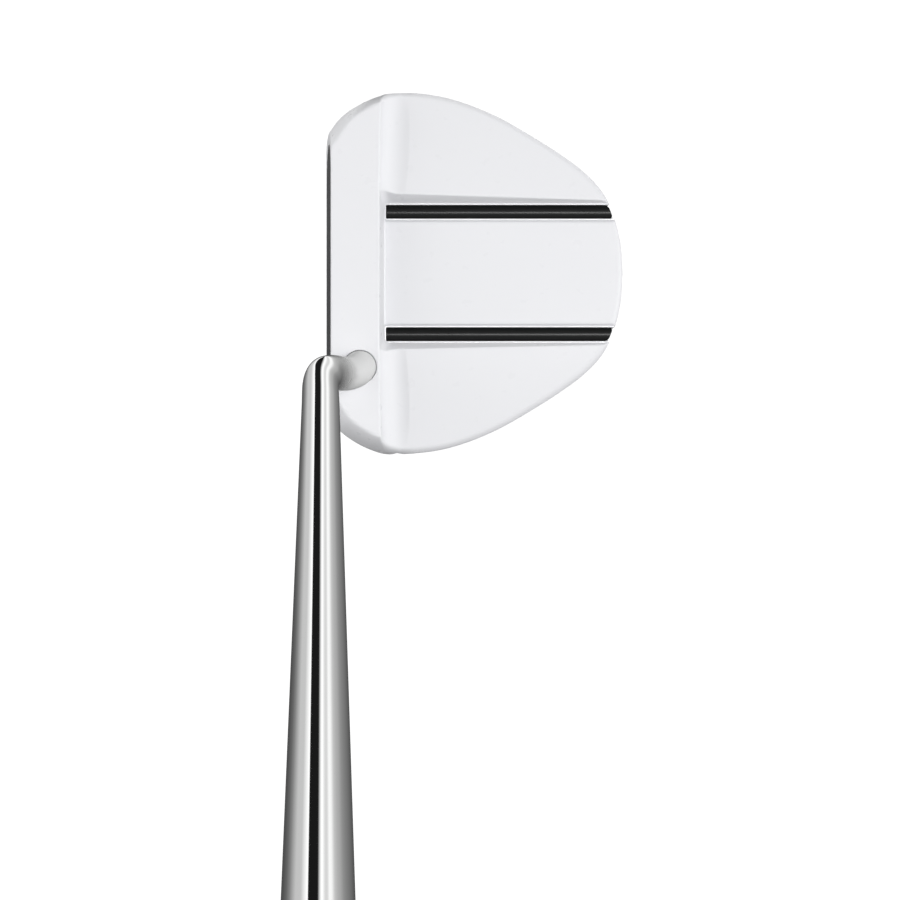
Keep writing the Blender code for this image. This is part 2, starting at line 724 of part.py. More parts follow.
def shaft():
    route = shaft_route()
    tube = add_part("shaft", tube_mesh("shaft", route, 0.0), CHROME)
    (first, tip_radius), (last, butt_radius) = route[0], route[-1]
    longer = [(first - Vector((0.0, 0.0, OVERRUN)), tip_radius), *route[1:-1]]
    end_run = (last - route[-2][0]).normalized() * OVERRUN
    longer.append((last + end_run, butt_radius))
    cut(tube, add_cutter("shaft_hollow", tube_mesh("shaft_hollow", longer, SHAFT_WALL)))
    shade_smooth(tube)
    return tube


def bore_pieces():
    """The bond line round the shaft's tip, and the plug that closes the tip."""
    inner = TIP_RADIUS + GAP
    outer = inner + BOND_WALL - GAP
    low, high = BORE_BOTTOM + GAP, BOND_TOP - GAP
    ring = [(outer, high), (outer, low), (inner, low), (inner, high)]
    bond = turned("shaft_bond", ring, ADHESIVE, closed=True)
    bond.location = (BORE_X, BORE_Y, 0.0)
    plug_radius = TIP_RADIUS - SHAFT_WALL - GAP
    plug_low = BEND_POINTS[0][2] * MM + 0.5 * MM
    plug_high = plug_low + PLUG_LENGTH
    profile = [(0.0, plug_high), (plug_radius, plug_high), (plug_radius, plug_low), (0.0, plug_low)]
    plug = turned("shaft_tip_plug", profile, PLUG_PLASTIC)
    plug.location = (BORE_X, BORE_Y, 0.0)
    return bond, plug


def grip_ring(height, half_width, back, front):
    """Grip section: flat in front for the thumbs, round behind for the palms."""
    ring = []
    for side in range(GRIP_SIDES):
        angle = 2 * math.pi * side / GRIP_SIDES
        across, deep = math.cos(angle), math.sin(angle)
        if deep > 0:
            across = math.copysign(abs(across) ** 0.62, across)
            ring.append((half_width * across, front * deep**0.5, height))
        else:
            ring.append((half_width * across, back * deep, height))
    return ring


def grip_pieces(axis):
    start = CLUB_LENGTH - GRIP_LENGTH
    rings = []
    for height, half_width, back, front in blended(GRIP_SECTIONS, GRIP_STEPS):
        rings.append(grip_ring(start + height * MM, half_width * MM, back * MM, front * MM))
    grip = add_part("grip", loft("grip", rings), GRIP_RUBBER)
    bore = cylinder("grip_bore", GRIP_BORE, start - OVERRUN, CLUB_LENGTH + OVERRUN)
    tape_low, tape_high = start + TAPE_MARGIN, CLUB_LENGTH - SHAFT_BUTT_INSET - TAPE_MARGIN
    inner = BUTT_RADIUS + GAP
    outer = inner + TAPE_THICK
    ring = [(outer, tape_high), (outer, tape_low), (inner, tape_low), (inner, tape_high)]
    tape = turned("grip_tape", ring, TAPE, closed=True)
    cap = turned("grip_end_cap", cap_profile(), GRIP_RUBBER)
    for piece in (grip, bore, tape, cap):
        piece.parent = axis
    cut(grip, bore)
    shade_smooth(grip)
    return grip, tape, cap


def blended(rows, steps):
    """Rows of numbers with smooth in-between rows."""
    columns = [smooth_path([(value, 0.0) for value in column], steps) for column in zip(*rows)]
    return [[point.x for point in row] for row in zip(*columns)]


def cap_profile():
    """Plug with a flange that closes the top of the grip."""
    top = CLUB_LENGTH + 0.6 * MM
    under = CLUB_LENGTH - SHAFT_BUTT_INSET + GAP
    plug_radius = BUTT_RADIUS - SHAFT_WALL - GAP
    low = under - CAP_DEPTH
    return [
        (0.0, top),
        (CAP_FLANGE_RADIUS - 1.0 * MM, top),
        (CAP_FLANGE_RADIUS, top - 0.8 * MM),
        (CAP_FLANGE_RADIUS, under),
        (plug_radius, under),
        (plug_radius, low),
        (0.0, low),
    ]


def build_club():
    head_body()
    face_pieces()
    alignment_bar(1, "toe_alignment_bar")
    alignment_bar(-1, "heel_alignment_bar")
    sole_plate()
    for number, (x, y) in enumerate(plate_screw_places(), start=1):
        plate_screw(number, x, y)
    cavity_damper()
    weight_set(1, "toe")
    weight_set(-1, "heel")
    shaft()
    bore_pieces()
    grip_pieces(shaft_axis_empty())


build_club()
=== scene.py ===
"""The looks of a mallet putter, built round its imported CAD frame.

Frame: metres, +Z up, +X from the striking face to the rear of the head, +Y to the toe. Lengths of
the club are in millimetres and are turned into metres where a mesh is made. Those of the stage,
the light and the camera are in metres.
"""

import json
import math

import bmesh
import bpy
from mathutils import Matrix, Vector
from mathutils.kdtree import KDTree

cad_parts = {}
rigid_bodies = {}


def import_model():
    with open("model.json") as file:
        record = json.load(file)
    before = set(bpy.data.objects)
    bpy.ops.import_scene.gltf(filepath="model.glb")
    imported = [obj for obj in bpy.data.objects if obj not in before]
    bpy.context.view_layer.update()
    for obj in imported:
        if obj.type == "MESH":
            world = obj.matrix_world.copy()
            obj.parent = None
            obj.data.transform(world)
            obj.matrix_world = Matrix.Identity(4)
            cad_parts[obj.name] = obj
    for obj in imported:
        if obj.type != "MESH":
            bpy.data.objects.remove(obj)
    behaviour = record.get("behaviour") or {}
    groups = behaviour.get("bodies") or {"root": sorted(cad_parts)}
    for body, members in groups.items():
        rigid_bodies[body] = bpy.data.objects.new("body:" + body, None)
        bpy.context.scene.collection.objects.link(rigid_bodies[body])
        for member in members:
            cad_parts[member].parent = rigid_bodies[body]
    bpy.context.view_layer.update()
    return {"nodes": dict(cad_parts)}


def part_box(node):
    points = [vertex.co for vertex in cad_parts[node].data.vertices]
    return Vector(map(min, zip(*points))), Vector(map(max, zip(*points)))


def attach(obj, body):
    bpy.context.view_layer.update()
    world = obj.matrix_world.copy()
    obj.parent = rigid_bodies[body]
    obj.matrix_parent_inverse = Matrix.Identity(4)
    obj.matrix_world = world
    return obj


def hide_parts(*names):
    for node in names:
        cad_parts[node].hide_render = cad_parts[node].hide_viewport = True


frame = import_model()
nodes = frame["nodes"]
MM = 0.001

# ---------------------------------------------------------------- sizes of the head

LOFT = math.radians(3.0)
FACE_AT_SOLE = -39.1
BAR_TOP = 25.0
LEADING_EDGE_LIFT = 0.6
BAR_WIDEST_Z = 11.0
BAR_TOE_AT_WIDEST = [
    (-38.3, 40.5), (-34.8, 45.0), (-29.0, 48.9), (-22.3, 51.3), (-18.4, 50.4), (-17.0, 46.0),
]
BAR_TOE_AT_TOP = [
    (-37.8, 33.6), (-31.9, 41.7), (-26.9, 45.0), (-21.9, 46.9), (-18.7, 46.4), (-17.0, 43.0),
]
BAR_SOLE_INSET = 0.55
BAR_LEVELS = 20
BAR_END_STEPS = 10
BLANK_TOP = 30.0

CROWN_HALF = [
    (-33.0, 0.0), (-33.0, 36.0), (-27.0, 47.5), (-17.0, 51.3), (-7.1, 50.2), (1.4, 47.8),
    (10.2, 44.0), (18.8, 39.1), (27.3, 33.7), (34.2, 28.5), (39.5, 22.6), (42.8, 15.2),
    (44.5, 7.6), (45.0, 0.0),
]
CROWN_CENTRE_X = -2.0
CROWN_STEPS = 10
WING_HEIGHT = 21.5
WING_FALL_REARWARD = 0.052
WING_FALL_SIDEWAYS = 2.8
WING_REF_X = -18.0
WING_REF_Y = 50.0
HULL_LEVELS = [(0.0, 0.79), (0.9, 0.825), (4.0, 0.885), (8.0, 0.95), (11.0, 0.985), (13.6, 1.0)]
HULL_STEPS = 4

# The top of the head as one form: its outline from beyond the face round to the rear tip, and how
# it rolls down to the widest level there.
TOP_HALF = [
    (-50.0, 18.0), (-46.5, 26.5), (-42.5, 34.3), (-38.3, 40.5), (-34.8, 45.0), (-29.0, 48.9),
    (-23.3, 51.1), *CROWN_HALF[3:],
]
TOP_CURVE_STEPS = 12
ROLL_Z_AT_BAR = 11.0
ROLL_Z_AT_CROWN = 15.0
ROLL_CHANGE_X = (-23.0, -13.0)
ROLL_SHARE = 0.31  # width of the roll as a share of its height
ROLL_LEAST = 2.0
ROLL_POWER_AT_BAR = 1.4
ROLL_POWER_AT_WING = 1.9
ROLL_POWER_CHANGE_Z = (20.0, BAR_TOP)
TOP_FRONT = -48.0
TOP_REAR = 44.99
TOP_FORM_LOW = -2.0
TOP_COLUMNS = 420
TOP_ROWS = 90
TOP_CROWDING = 1.25  # above 1, the columns crowd towards the rear tip

COVE_RADIUS = 7.0
COVE_X = -18.9
COVE_AXIS_Z = 29.6
COVE_FALL = math.radians(4.5)
COVE_SWEEP = math.radians(2.4)

PLATFORM_Z = 17.2
LEDGE_Z = 16.1
CHANNEL_FRONT = -22.5
CHANNEL_HALF = 19.52
CHANNEL_CORNER = 2.0
CHANNEL_TOP = 32.0
CHANNEL_REAR = 80.0
WALL_SLOPE = 0.46
FRONT_WALL_SLOPE = 0.21
PLATFORM_HALF = 14.35
PLATFORM_FOOT_HALF = 15.0
PLATFORM_CORNER = 1.0
PLATFORM_REACH = (-60.0, 100.0)
PLATFORM_EDGE_ROUND = 1.6
EDGE_BLOCK_X = (20.0, 60.0)
EDGE_BLOCK_HALF = 19.0
EDGE_BLOCK_RISE = 0.5
EDGE_HULL_DROP = 2.0
EDGE_STEPS = 10
EDGE_MARGIN = 0.02
EDGE_SCALE_BELOW = 0.9995  # keeps the rounding cutter just inside the hull's wall

BAR_INNER = 15.4
BAR_OUTER = 19.25
BAR_BOTTOM = 13.4
BAR_EDGE_Z = 16.2
BAR_CROWN = 0.5
BAR_FRONT = -22.2
BAR_REAR_INSET = 0.5
BAR_REAR_CORNER = 0.9
BAR_GROOVE_GAP = 0.15
BAR_CROWN_STEPS = 32
GROOVE_REAR = 50.0
GROOVE_TOP = 20.0
LIP_HALF = 0.24
LIP_AWAY = 0.28
LIP_TOP = 16.8
LIP_BOTTOM = 15.6
LIP_CORNER = 0.6
LIP_CROWN = 0.05
LIP_REAR_INSET = 0.6
LIP_STEPS = 8

INSERT_HALF_LENGTH = 37.0
INSERT_LOW = 2.8
INSERT_HIGH = 21.8
INSERT_THICK = 2.0
INSERT_POCKET_DEPTH = 3.1
INSERT_GAP = 0.15
INSERT_END_STEPS = 32
INSERT_GROOVES = 11
INSERT_GROOVE_HALF = 0.3
INSERT_GROOVE_DEPTH = 0.22
INSERT_GROOVE_REACH = 60.0

# How far cutters reach past what they open.
TRIM = 5.0
SMALL_TRIM = 1.0

SKIN_VOXEL = 0.25
SKIN_SMOOTHING = 3
EDGE_ANGLE = math.radians(32)


# ---------------------------------------------------------------- mesh helpers


def scratch_object(name, mesh):
    """An object for Booleans only; finished() removes it."""
    made = bpy.data.objects.new(name, mesh)
    bpy.context.scene.collection.objects.link(made)
    return made


def closed_mesh(name, bm):
    bmesh.ops.recalc_face_normals(bm, faces=bm.faces)
    mesh = bpy.data.meshes.new(name)
    bm.to_mesh(mesh)
    bm.free()
    return mesh


def loft(name, rings):
    """A closed mesh through rings of equally many points, given in millimetres."""
    bm = bmesh.new()
    rows = [[bm.verts.new(Vector(point) * MM) for point in ring] for ring in rings]
    count = len(rows[0])
    for lower, upper in zip(rows, rows[1:]):
        for i in range(count):
            j = (i + 1) % count
            bm.faces.new((lower[i], lower[j], upper[j], upper[i]))
    bm.faces.new(rows[0])
    bm.faces.new(rows[-1])
    return closed_mesh(name, bm)


def prism(name, outline, low, high):
    """A flat plate with this outline between two heights."""
    return loft(name, [[(x, y, low) for x, y in outline], [(x, y, high) for x, y in outline]])


def spun(name, profile, steps=96, closed=False):
    """A turned mesh: (radius, height) pairs spun about Z; points on the axis stay single."""
    bm = bmesh.new()
    columns = []
    for radius, height in profile:
        if radius < 1e-6:
            vert = bm.verts.new((0.0, 0.0, height * MM))
            columns.append([vert] * steps)
            continue
        column = []
        for step in range(steps):
            angle = 2 * math.pi * step / steps
            x, y = radius * MM * math.cos(angle), radius * MM * math.sin(angle)
            column.append(bm.verts.new((x, y, height * MM)))
        columns.append(column)
    pairs = list(zip(columns, columns[1:]))
    if closed:
        pairs.append((columns[-1], columns[0]))
    for one, two in pairs:
        for i in range(steps):
            j = (i + 1) % steps
            corners = []
            for vert in (one[i], one[j], two[j], two[i]):
                if vert not in corners:
                    corners.append(vert)
            if len(corners) > 2:
                bm.faces.new(corners)
    return closed_mesh(name, bm)


def moved(mesh, x, y):
    mesh.transform(Matrix.Translation(Vector((x, y, 0.0)) * MM))
    return mesh


def combine(target, operation, *meshes):
    """Adds Boolean steps with these meshes to the scratch object."""
    for mesh in meshes:
        tool = scratch_object(mesh.name, mesh)
        step = target.modifiers.new(mesh.name, "BOOLEAN")
        step.operation = operation
        step.object = tool
        step.solver = "MANIFOLD"


def cut(target, *meshes):
    combine(target, "DIFFERENCE", *meshes)


def finished(target):
    """The mesh after all Boolean steps; the scratch objects go away."""
    graph = bpy.context.evaluated_depsgraph_get()
    mesh = bpy.data.meshes.new_from_object(target.evaluated_get(graph))
    tools = [step.object for step in target.modifiers if step.type == "BOOLEAN"]
    for tool in [*tools, target]:
        bpy.data.objects.remove(tool, do_unlink=True)
    return mesh


def soften(piece, width, segments=3):
    """Rounds the sharp edges and keeps the flats flat in the shading."""
    bevel = piece.modifiers.new("rounded_edges", "BEVEL")
    bevel.width = width * MM
    bevel.segments = segments
    bevel.limit_method = "ANGLE"
    bevel.angle_limit = EDGE_ANGLE
    bevel.use_clamp_overlap = False
    bevel.miter_outer = "MITER_ARC"
    weighted = piece.modifiers.new("flat_shading", "WEIGHTED_NORMAL")
    weighted.keep_sharp = True
    piece.data.shade_smooth()


def smooth_path(points, steps):
    """Points along a Catmull-Rom curve that passes through all the given points."""
    knots = [Vector(point) for point in points]
    before = 2 * knots[0] - knots[1]
    after = 2 * knots[-1] - knots[-2]
    knots = [before, *knots, after]
    path = []
    for a, b, c, d in zip(knots, knots[1:], knots[2:], knots[3:]):
        for step in range(steps):
            t = step / steps
            pull = (c - a) * t + (2 * a - 5 * b + 4 * c - d) * t**2 + (3 * b - a - 3 * c + d) * t**3
            path.append(b + pull / 2)
    path.append(knots[-2])
    return path


def blended(rows, steps):
    """Rows of numbers with smooth in-between rows."""
    columns = [smooth_path([(value, 0.0) for value in column], steps) for column in zip(*rows)]
    return [[point.x for point in row] for row in zip(*columns)]


def rounded_rectangle(x_low, x_high, half_width, corner, steps=12):
    outline = []
    corners = [
        (x_high - corner, half_width - corner, 0),
        (x_low + corner, half_width - corner, 90),
        (x_low + corner, corner - half_width, 180),
        (x_high - corner, corner - half_width, 270),
    ]
    for x, y, start in corners:
        for step in range(steps + 1):
            angle = math.radians(start + 90 * step / steps)
            outline.append((x + corner * math.cos(angle), y + corner * math.sin(angle)))
    return outline


def disc(radius, low, high, x=0.0, y=0.0, steps=96):
    """A short round cutter."""
    profile = [(0.0, low), (radius, low), (radius, high), (0.0, high)]
    return moved(spun("round_cutter", profile, steps), x, y)


def add_piece(name, mesh, body, slot, *stands_for):
    """One visible piece of the club, riding on a CAD body in place of these CAD nodes."""
    piece = bpy.data.objects.new(name, mesh)
    bpy.context.scene.collection.objects.link(piece)
    mesh.materials.clear()
    mesh.materials.append(LOOKS[slot])
    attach(piece, body)
    if stands_for:
        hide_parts(*stands_for)
    return piece


# ---------------------------------------------------------------- materials


class Look:
    """Builds a Principled material from noise-driven colour, roughness and bump."""

    def __init__(self, name, roughness, metallic=0.0, specular=0.5):
        self.material = bpy.data.materials.new(name)
        self.material.use_nodes = True
        self.tree = self.material.node_tree
        self.shader = self.tree.nodes["Principled BSDF"]
        self.shader.inputs["Roughness"].default_value = roughness
        self.shader.inputs["Metallic"].default_value = metallic
        self.shader.inputs["Specular IOR Level"].default_value = specular
        self.place = self.tree.nodes.new("ShaderNodeTexCoord").outputs["Object"]
        self.bumps = None

    def link(self, source, target):
        self.tree.links.new(source, target)

    def stretched(self, scale):
        """Object coordinates stretched along an axis, for brushed or turned finishes."""
        mapping = self.tree.nodes.new("ShaderNodeMapping")
        mapping.inputs["Scale"].default_value = scale
        self.link(self.place, mapping.inputs["Vector"])
        return mapping.outputs["Vector"]

    def noise(self, per_mm, detail=2.0, scale=(1.0, 1.0, 1.0)):
        texture = self.tree.nodes.new("ShaderNodeTexNoise")
        texture.inputs["Scale"].default_value = per_mm / MM
        texture.inputs["Detail"].default_value = detail
        self.link(self.stretched(scale), texture.inputs["Vector"])
        return texture.outputs["Fac"]

    def cells(self, per_mm):
        texture = self.tree.nodes.new("ShaderNodeTexVoronoi")
        texture.inputs["Scale"].default_value = per_mm / MM
        self.link(self.place, texture.inputs["Vector"])
        return texture.outputs["Distance"]

    def height(self, low, high):
        """Goes from 0.3 to 0.7, as a texture does, between two heights in millimetres."""
        split = self.tree.nodes.new("ShaderNodeSeparateXYZ")
        self.link(self.place, split.inputs["Vector"])
        return self.spread(split.outputs["Z"], 0.3, 0.7, low * MM, high * MM)

    def spread(self, source, low, high, start=0.3, end=0.7):
        """Maps a texture value onto a range of numbers."""
        node = self.tree.nodes.new("ShaderNodeMapRange")
        node.inputs["From Min"].default_value = start
        node.inputs["From Max"].default_value = end
        node.inputs["To Min"].default_value = low
        node.inputs["To Max"].default_value = high
        self.link(source, node.inputs["Value"])
        return node.outputs["Result"]

    def colour(self, source, one, two):
        ramp = self.tree.nodes.new("ShaderNodeMix")
        ramp.data_type = "RGBA"
        ramp.inputs["A"].default_value = (*one, 1.0)
        ramp.inputs["B"].default_value = (*two, 1.0)
        self.link(source, ramp.inputs["Factor"])
        self.link(ramp.outputs["Result"], self.shader.inputs["Base Color"])

    def roughness(self, source, low, high):
        self.link(self.spread(source, low, high), self.shader.inputs["Roughness"])

    def bump(self, source, height):
        """Adds a bump layer whose full swing is this many millimetres."""
        node = self.tree.nodes.new("ShaderNodeBump")
        node.inputs["Strength"].default_value = 1.0
        node.inputs["Distance"].default_value = height * MM
        self.link(source, node.inputs["Height"])
        if self.bumps is not None:
            self.link(self.bumps, node.inputs["Normal"])
        self.bumps = node.outputs["Normal"]
        self.link(self.bumps, self.shader.inputs["Normal"])


def white_paint(name, rough_low, rough_high, specular):
    look = Look(name, rough_high, specular=specular)
    look.colour(look.noise(0.04, 3.0), (0.846, 0.851, 0.874), (0.858, 0.862, 0.882))
    look.roughness(look.noise(0.3, 3.0), rough_low, rough_high)
    look.bump(look.noise(0.25, 1.0), 0.0015)
    return look.material


def black_bar():
    look = Look("black_bar", 0.2, specular=0.32)
    look.colour(look.noise(0.5, 4.0), (0.0055, 0.006, 0.006), (0.008, 0.0085, 0.0085))
    look.roughness(look.noise(0.8, 3.0), 0.19, 0.23)
    look.bump(look.noise(1.6, 2.0), 0.002)
    return look.material


def insert_dark():
    look = Look("insert_dark", 0.45)
    look.colour(look.noise(3.0, 4.0), (0.018, 0.019, 0.021), (0.034, 0.035, 0.038))
    look.roughness(look.noise(2.0, 3.0), 0.38, 0.55)
    look.bump(look.noise(4.0, 3.0), 0.01)
    return look.material


def adhesive():
    look = Look("adhesive", 0.5)
    look.colour(look.noise(0.4, 4.0), (0.42, 0.38, 0.28), (0.60, 0.55, 0.42))
    look.roughness(look.noise(0.8, 3.0), 0.35, 0.6)
    look.bump(look.noise(1.2, 3.0), 0.03)
    return look.material


def brushed_metal(name, dark, light, rough_low, rough_high, scale):
    """Metal with fine lines that run along the axis with the smallest scale."""
    look = Look(name, rough_low, metallic=1.0)
    lines = look.noise(4.0, 3.0, scale)
    look.colour(lines, dark, light)
    look.roughness(look.noise(2.5, 3.0, scale), rough_low, rough_high)
    look.bump(lines, 0.003)
    return look.material


def rubber(name, dark, light, rough_low, rough_high, grain):
    look = Look(name, rough_low, specular=0.35)
    look.colour(look.noise(0.3, 4.0), dark, light)
    look.roughness(look.noise(1.5, 3.0), rough_low, rough_high)
    look.bump(look.cells(grain), 0.012)
    return look.material


# The bend into the head is satin; the straight shaft above it is mirror chrome.
SATIN_FADE = (46.0, 66.0)
SATIN_ROUGHNESS = 0.42
SATIN_METAL = 0.0


def chrome():
    look = Look("chrome", 0.05, metallic=1.0)
    look.colour(look.noise(0.02, 3.0), (0.80, 0.805, 0.80), (0.84, 0.842, 0.838))
    polish = look.height(*SATIN_FADE)
    look.roughness(polish, SATIN_ROUGHNESS, 0.045)
    look.link(look.spread(polish, SATIN_METAL, 1.0), look.shader.inputs["Metallic"])
    look.bump(look.noise(0.15, 2.0, (1.0, 1.0, 0.15)), 0.0012)
    return look.material


def plug_plastic():
    look = Look("plug_plastic", 0.45)
    look.colour(look.noise(0.5, 3.0), (0.62, 0.60, 0.52), (0.74, 0.72, 0.64))
    look.roughness(look.noise(1.0, 3.0), 0.4, 0.55)
    look.bump(look.noise(2.0, 2.0), 0.01)
    return look.material


def tape():
    look = Look("tape", 0.7)
    look.colour(look.noise(0.8, 4.0), (0.60, 0.55, 0.43), (0.75, 0.70, 0.57))
    look.roughness(look.noise(1.0, 3.0), 0.6, 0.8)
    look.bump(look.noise(1.2, 4.0, (1.0, 1.0, 0.3)), 0.04)
    return look.material


LOOKS = {
    "white_paint": white_paint("white_paint", 0.27, 0.32, 0.2),
    "black_bar": black_bar(),
    "insert_dark": insert_dark(),
    "adhesive": adhesive(),
    "plate_metal": brushed_metal(
        "plate_metal", (0.50, 0.51, 0.53), (0.66, 0.67, 0.69), 0.28, 0.42, (0.04, 1.0, 1.0)
    ),
    "screw_steel": brushed_metal(
        "screw_steel", (0.36, 0.36, 0.37), (0.50, 0.50, 0.51), 0.26, 0.4, (1.0, 1.0, 0.1)
    ),
    "weight_steel": brushed_metal(
        "weight_steel", (0.48, 0.49, 0.50), (0.62, 0.63, 0.64), 0.2, 0.34, (1.0, 1.0, 0.1)
    ),
    "washer_rubber": rubber("washer_rubber", (0.030, 0.030, 0.030), (0.055, 0.055, 0.056), 0.55, 0.75, 3.0),
    "damper_rubber": rubber("damper_rubber", (0.028, 0.028, 0.032), (0.05, 0.05, 0.055), 0.7, 0.85, 2.0),
    "chrome": chrome(),
    "plug_plastic": plug_plastic(),
    "tape": tape(),
    "grip_rubber": rubber("grip_rubber", (0.016, 0.016, 0.017), (0.034, 0.034, 0.035), 0.55, 0.72, 3.0),
}
# The same paint, glossier where it pools on the narrow rims.
RIM_PAINT = white_paint("white_paint_rim", 0.1, 0.14, 1.0)


# ---------------------------------------------------------------- head


def face_x(z):
    """The plane of the striking face."""
    return FACE_AT_SOLE + z * math.tan(LOFT)


def bar_blank():
    """The front bar up to its widest level, then straight up; the top form trims it."""
    widest = smooth_path(BAR_TOE_AT_WIDEST, BAR_END_STEPS)
    top = smooth_path(BAR_TOE_AT_TOP, BAR_END_STEPS)
    rings = []
    for level in range(BAR_LEVELS + 1):
        share = 1 - math.sin(math.pi / 2 * level / BAR_LEVELS)
        z = BAR_WIDEST_Z - share * (BAR_WIDEST_Z - LEADING_EDGE_LIFT)
        inset = BAR_SOLE_INSET * (1 - math.sqrt(max(0.0, 1 - share**2)))
        rings.append(bar_ring([a.lerp(b, inset) for a, b in zip(widest, top)], z))
    rings.append(bar_ring(widest, BLANK_TOP))
    return loft("bar", rings)


def bar_ring(toe_end, z):
    """Outline of the front bar at one height, with its front side in the plane of the face."""
    outline = [(face_x(z), toe_end[0].y)] + [(point.x, point.y) for point in toe_end[1:]]
    outline += [(x, -y) for x, y in reversed(outline)]
    return [(x, y, z) for x, y in outline]


def crown_outline():
    """The crown's outline, from the front centre line round by the toe, the rear and the heel."""
    half = [(point.x, point.y) for point in smooth_path(CROWN_HALF, CROWN_STEPS)]
    return half + [(x, -y) for x, y in reversed(half) if y > 1e-3]


def scaled(outline, scale):
    return [(CROWN_CENTRE_X + (x - CROWN_CENTRE_X) * scale, y * scale) for x, y in outline]


def hull_blank():
    """The hull up to the crown's widest level, then straight up; the top form trims it."""
    outline = crown_outline()
    rings = []
    for height, scale in blended(HULL_LEVELS, HULL_STEPS):
        rings.append([(x, y, height) for x, y in scaled(outline, scale)])
    rings.append([(x, y, BLANK_TOP) for x, y in outline])
    return loft("hull", rings)


def wing_height(x, y):
    """The top of the crown: highest behind the bar, falling rearward and to the sides."""
    rearward = WING_FALL_REARWARD * (x - WING_REF_X)
    return WING_HEIGHT - rearward - WING_FALL_SIDEWAYS * (y / WING_REF_Y) ** 2


def top_height(x, y):
    """The top before its edges roll down: the flat of the bar, the cove, then the wing."""
    cove_x = COVE_X + abs(y) * math.tan(COVE_SWEEP)
    cove_z = COVE_AXIS_Z - abs(y) * math.tan(COVE_FALL)
    height = BAR_TOP if x < cove_x else wing_height(x, y)
    reach = COVE_RADIUS**2 - (x - cove_x) ** 2
    if reach > 0:
        height = min(height, cove_z - math.sqrt(reach))
    return height


def eased(value, low, high):
    share = max(0.0, min(1.0, (value - low) / (high - low)))
    return share * share * (3 - 2 * share)


def mixed(one, two, share):
    return one + (two - one) * share


def rolled_height(x, y, edge_distance):
    """The top with its edge rolled down to the widest level."""
    height = top_height(x, y)
    low = mixed(ROLL_Z_AT_BAR, ROLL_Z_AT_CROWN, eased(x, *ROLL_CHANGE_X))
    power = mixed(ROLL_POWER_AT_WING, ROLL_POWER_AT_BAR, eased(height, *ROLL_POWER_CHANGE_Z))
    width = max(ROLL_LEAST, ROLL_SHARE * (height - low))
    away = 1 - min(1.0, edge_distance / width)
    return low + (height - low) * (1 - away**power) ** (1 / power)


def top_form():
    """A block whose upper side is the whole top of the head, lofted from its front to its rear."""
    outline = [(point.x, point.y) for point in smooth_path(TOP_HALF, TOP_CURVE_STEPS)]
    tree = KDTree(len(outline) * 2)
    for i, (x, y) in enumerate(outline):
        tree.insert((x, y, 0.0), 2 * i)
        tree.insert((x, -y, 0.0), 2 * i + 1)
    tree.balance()
    rings = []
    for column in range(TOP_COLUMNS + 1):
        share = column / TOP_COLUMNS
        x = TOP_FRONT + (TOP_REAR - TOP_FRONT) * (1 - (1 - share) ** TOP_CROWDING)
        half = half_width_at(outline, x)
        across = [-half * math.cos(math.pi * row / TOP_ROWS) for row in range(TOP_ROWS + 1)]
        distances = [tree.find((x, y, 0.0))[2] for y in across]
        distances[0] = distances[-1] = 0.0
        ring = [(x, y, rolled_height(x, y, distance)) for y, distance in zip(across, distances)]
        rings.append(ring + [(x, y, TOP_FORM_LOW) for y in reversed(across)])
    return loft("top_form", rings)


def half_width_at(outline, x):
    """Half the head's width at one place from front to rear."""
    for (x1, y1), (x2, y2) in zip(outline, outline[1:]):
        if x1 <= x <= x2:
            return y1 + (y2 - y1) * (x - x1) / (x2 - x1)
    raise ValueError(f"the outline doesn't reach x = {x}")


def channel_ring(z):
    """Outline of the drafted channel at one height above its floor."""
    rise = z - LEDGE_Z
    half = CHANNEL_HALF + WALL_SLOPE * rise
    front = CHANNEL_FRONT - FRONT_WALL_SLOPE * rise
    outline = rounded_rectangle(front, CHANNEL_REAR, half, CHANNEL_CORNER)
    return [(x, y, z) for x, y in outline]


def channel_cutter():
    """The channel down to the ledges along its sides, sparing the platform between them."""
    rings = [channel_ring(LEDGE_Z), channel_ring(CHANNEL_TOP)]
    channel = scratch_object("channel", loft("channel", rings))
    levels = [(0.0, PLATFORM_FOOT_HALF), (LEDGE_Z, PLATFORM_FOOT_HALF), (PLATFORM_Z, PLATFORM_HALF)]
    platform = []
    for z, half in levels:
        outline = rounded_rectangle(*PLATFORM_REACH, half, PLATFORM_CORNER)
        platform.append([(x, y, z) for x, y in outline])
    cut(channel, loft("platform", platform))
    return finished(channel)


def platform_edge_cutter():
    """What rounds the rear edge of the platform: a block less the rounded hull."""
    low = PLATFORM_Z - PLATFORM_EDGE_ROUND
    corners = rounded_rectangle(*EDGE_BLOCK_X, EDGE_BLOCK_HALF, PLATFORM_CORNER)
    block = scratch_object("edge_block", prism("edge_block", corners, low, PLATFORM_Z + EDGE_BLOCK_RISE))
    outline = crown_outline()
    reach = max(x for x, _ in outline) - CROWN_CENTRE_X
    rings = [[(x, y, low - EDGE_HULL_DROP) for x, y in scaled(outline, EDGE_SCALE_BELOW)]]
    for step in range(EDGE_STEPS + 1):
        angle = math.pi / 2 * step / EDGE_STEPS
        inset = EDGE_MARGIN + PLATFORM_EDGE_ROUND * (1 - math.cos(angle))
        height = PLATFORM_Z - PLATFORM_EDGE_ROUND * (1 - math.sin(angle))
        rings.append([(x, y, height) for x, y in scaled(outline, 1 - inset / reach)])
    cut(block, loft("platform_hull", rings))
    return finished(block)


def rear_edge_x(y, inset):
    """A little ahead of the crown's rear edge, at this distance from the centre line."""
    half = [(px, py) for px, py in crown_outline() if px > 0 and py >= 0]
    for (x1, y1), (x2, y2) in zip(half, half[1:]):
        if y2 <= abs(y) <= y1:
            return x1 + (x2 - x1) * (y1 - abs(y)) / (y1 - y2) - inset
    raise ValueError(f"the rear edge doesn't reach y = {y}")


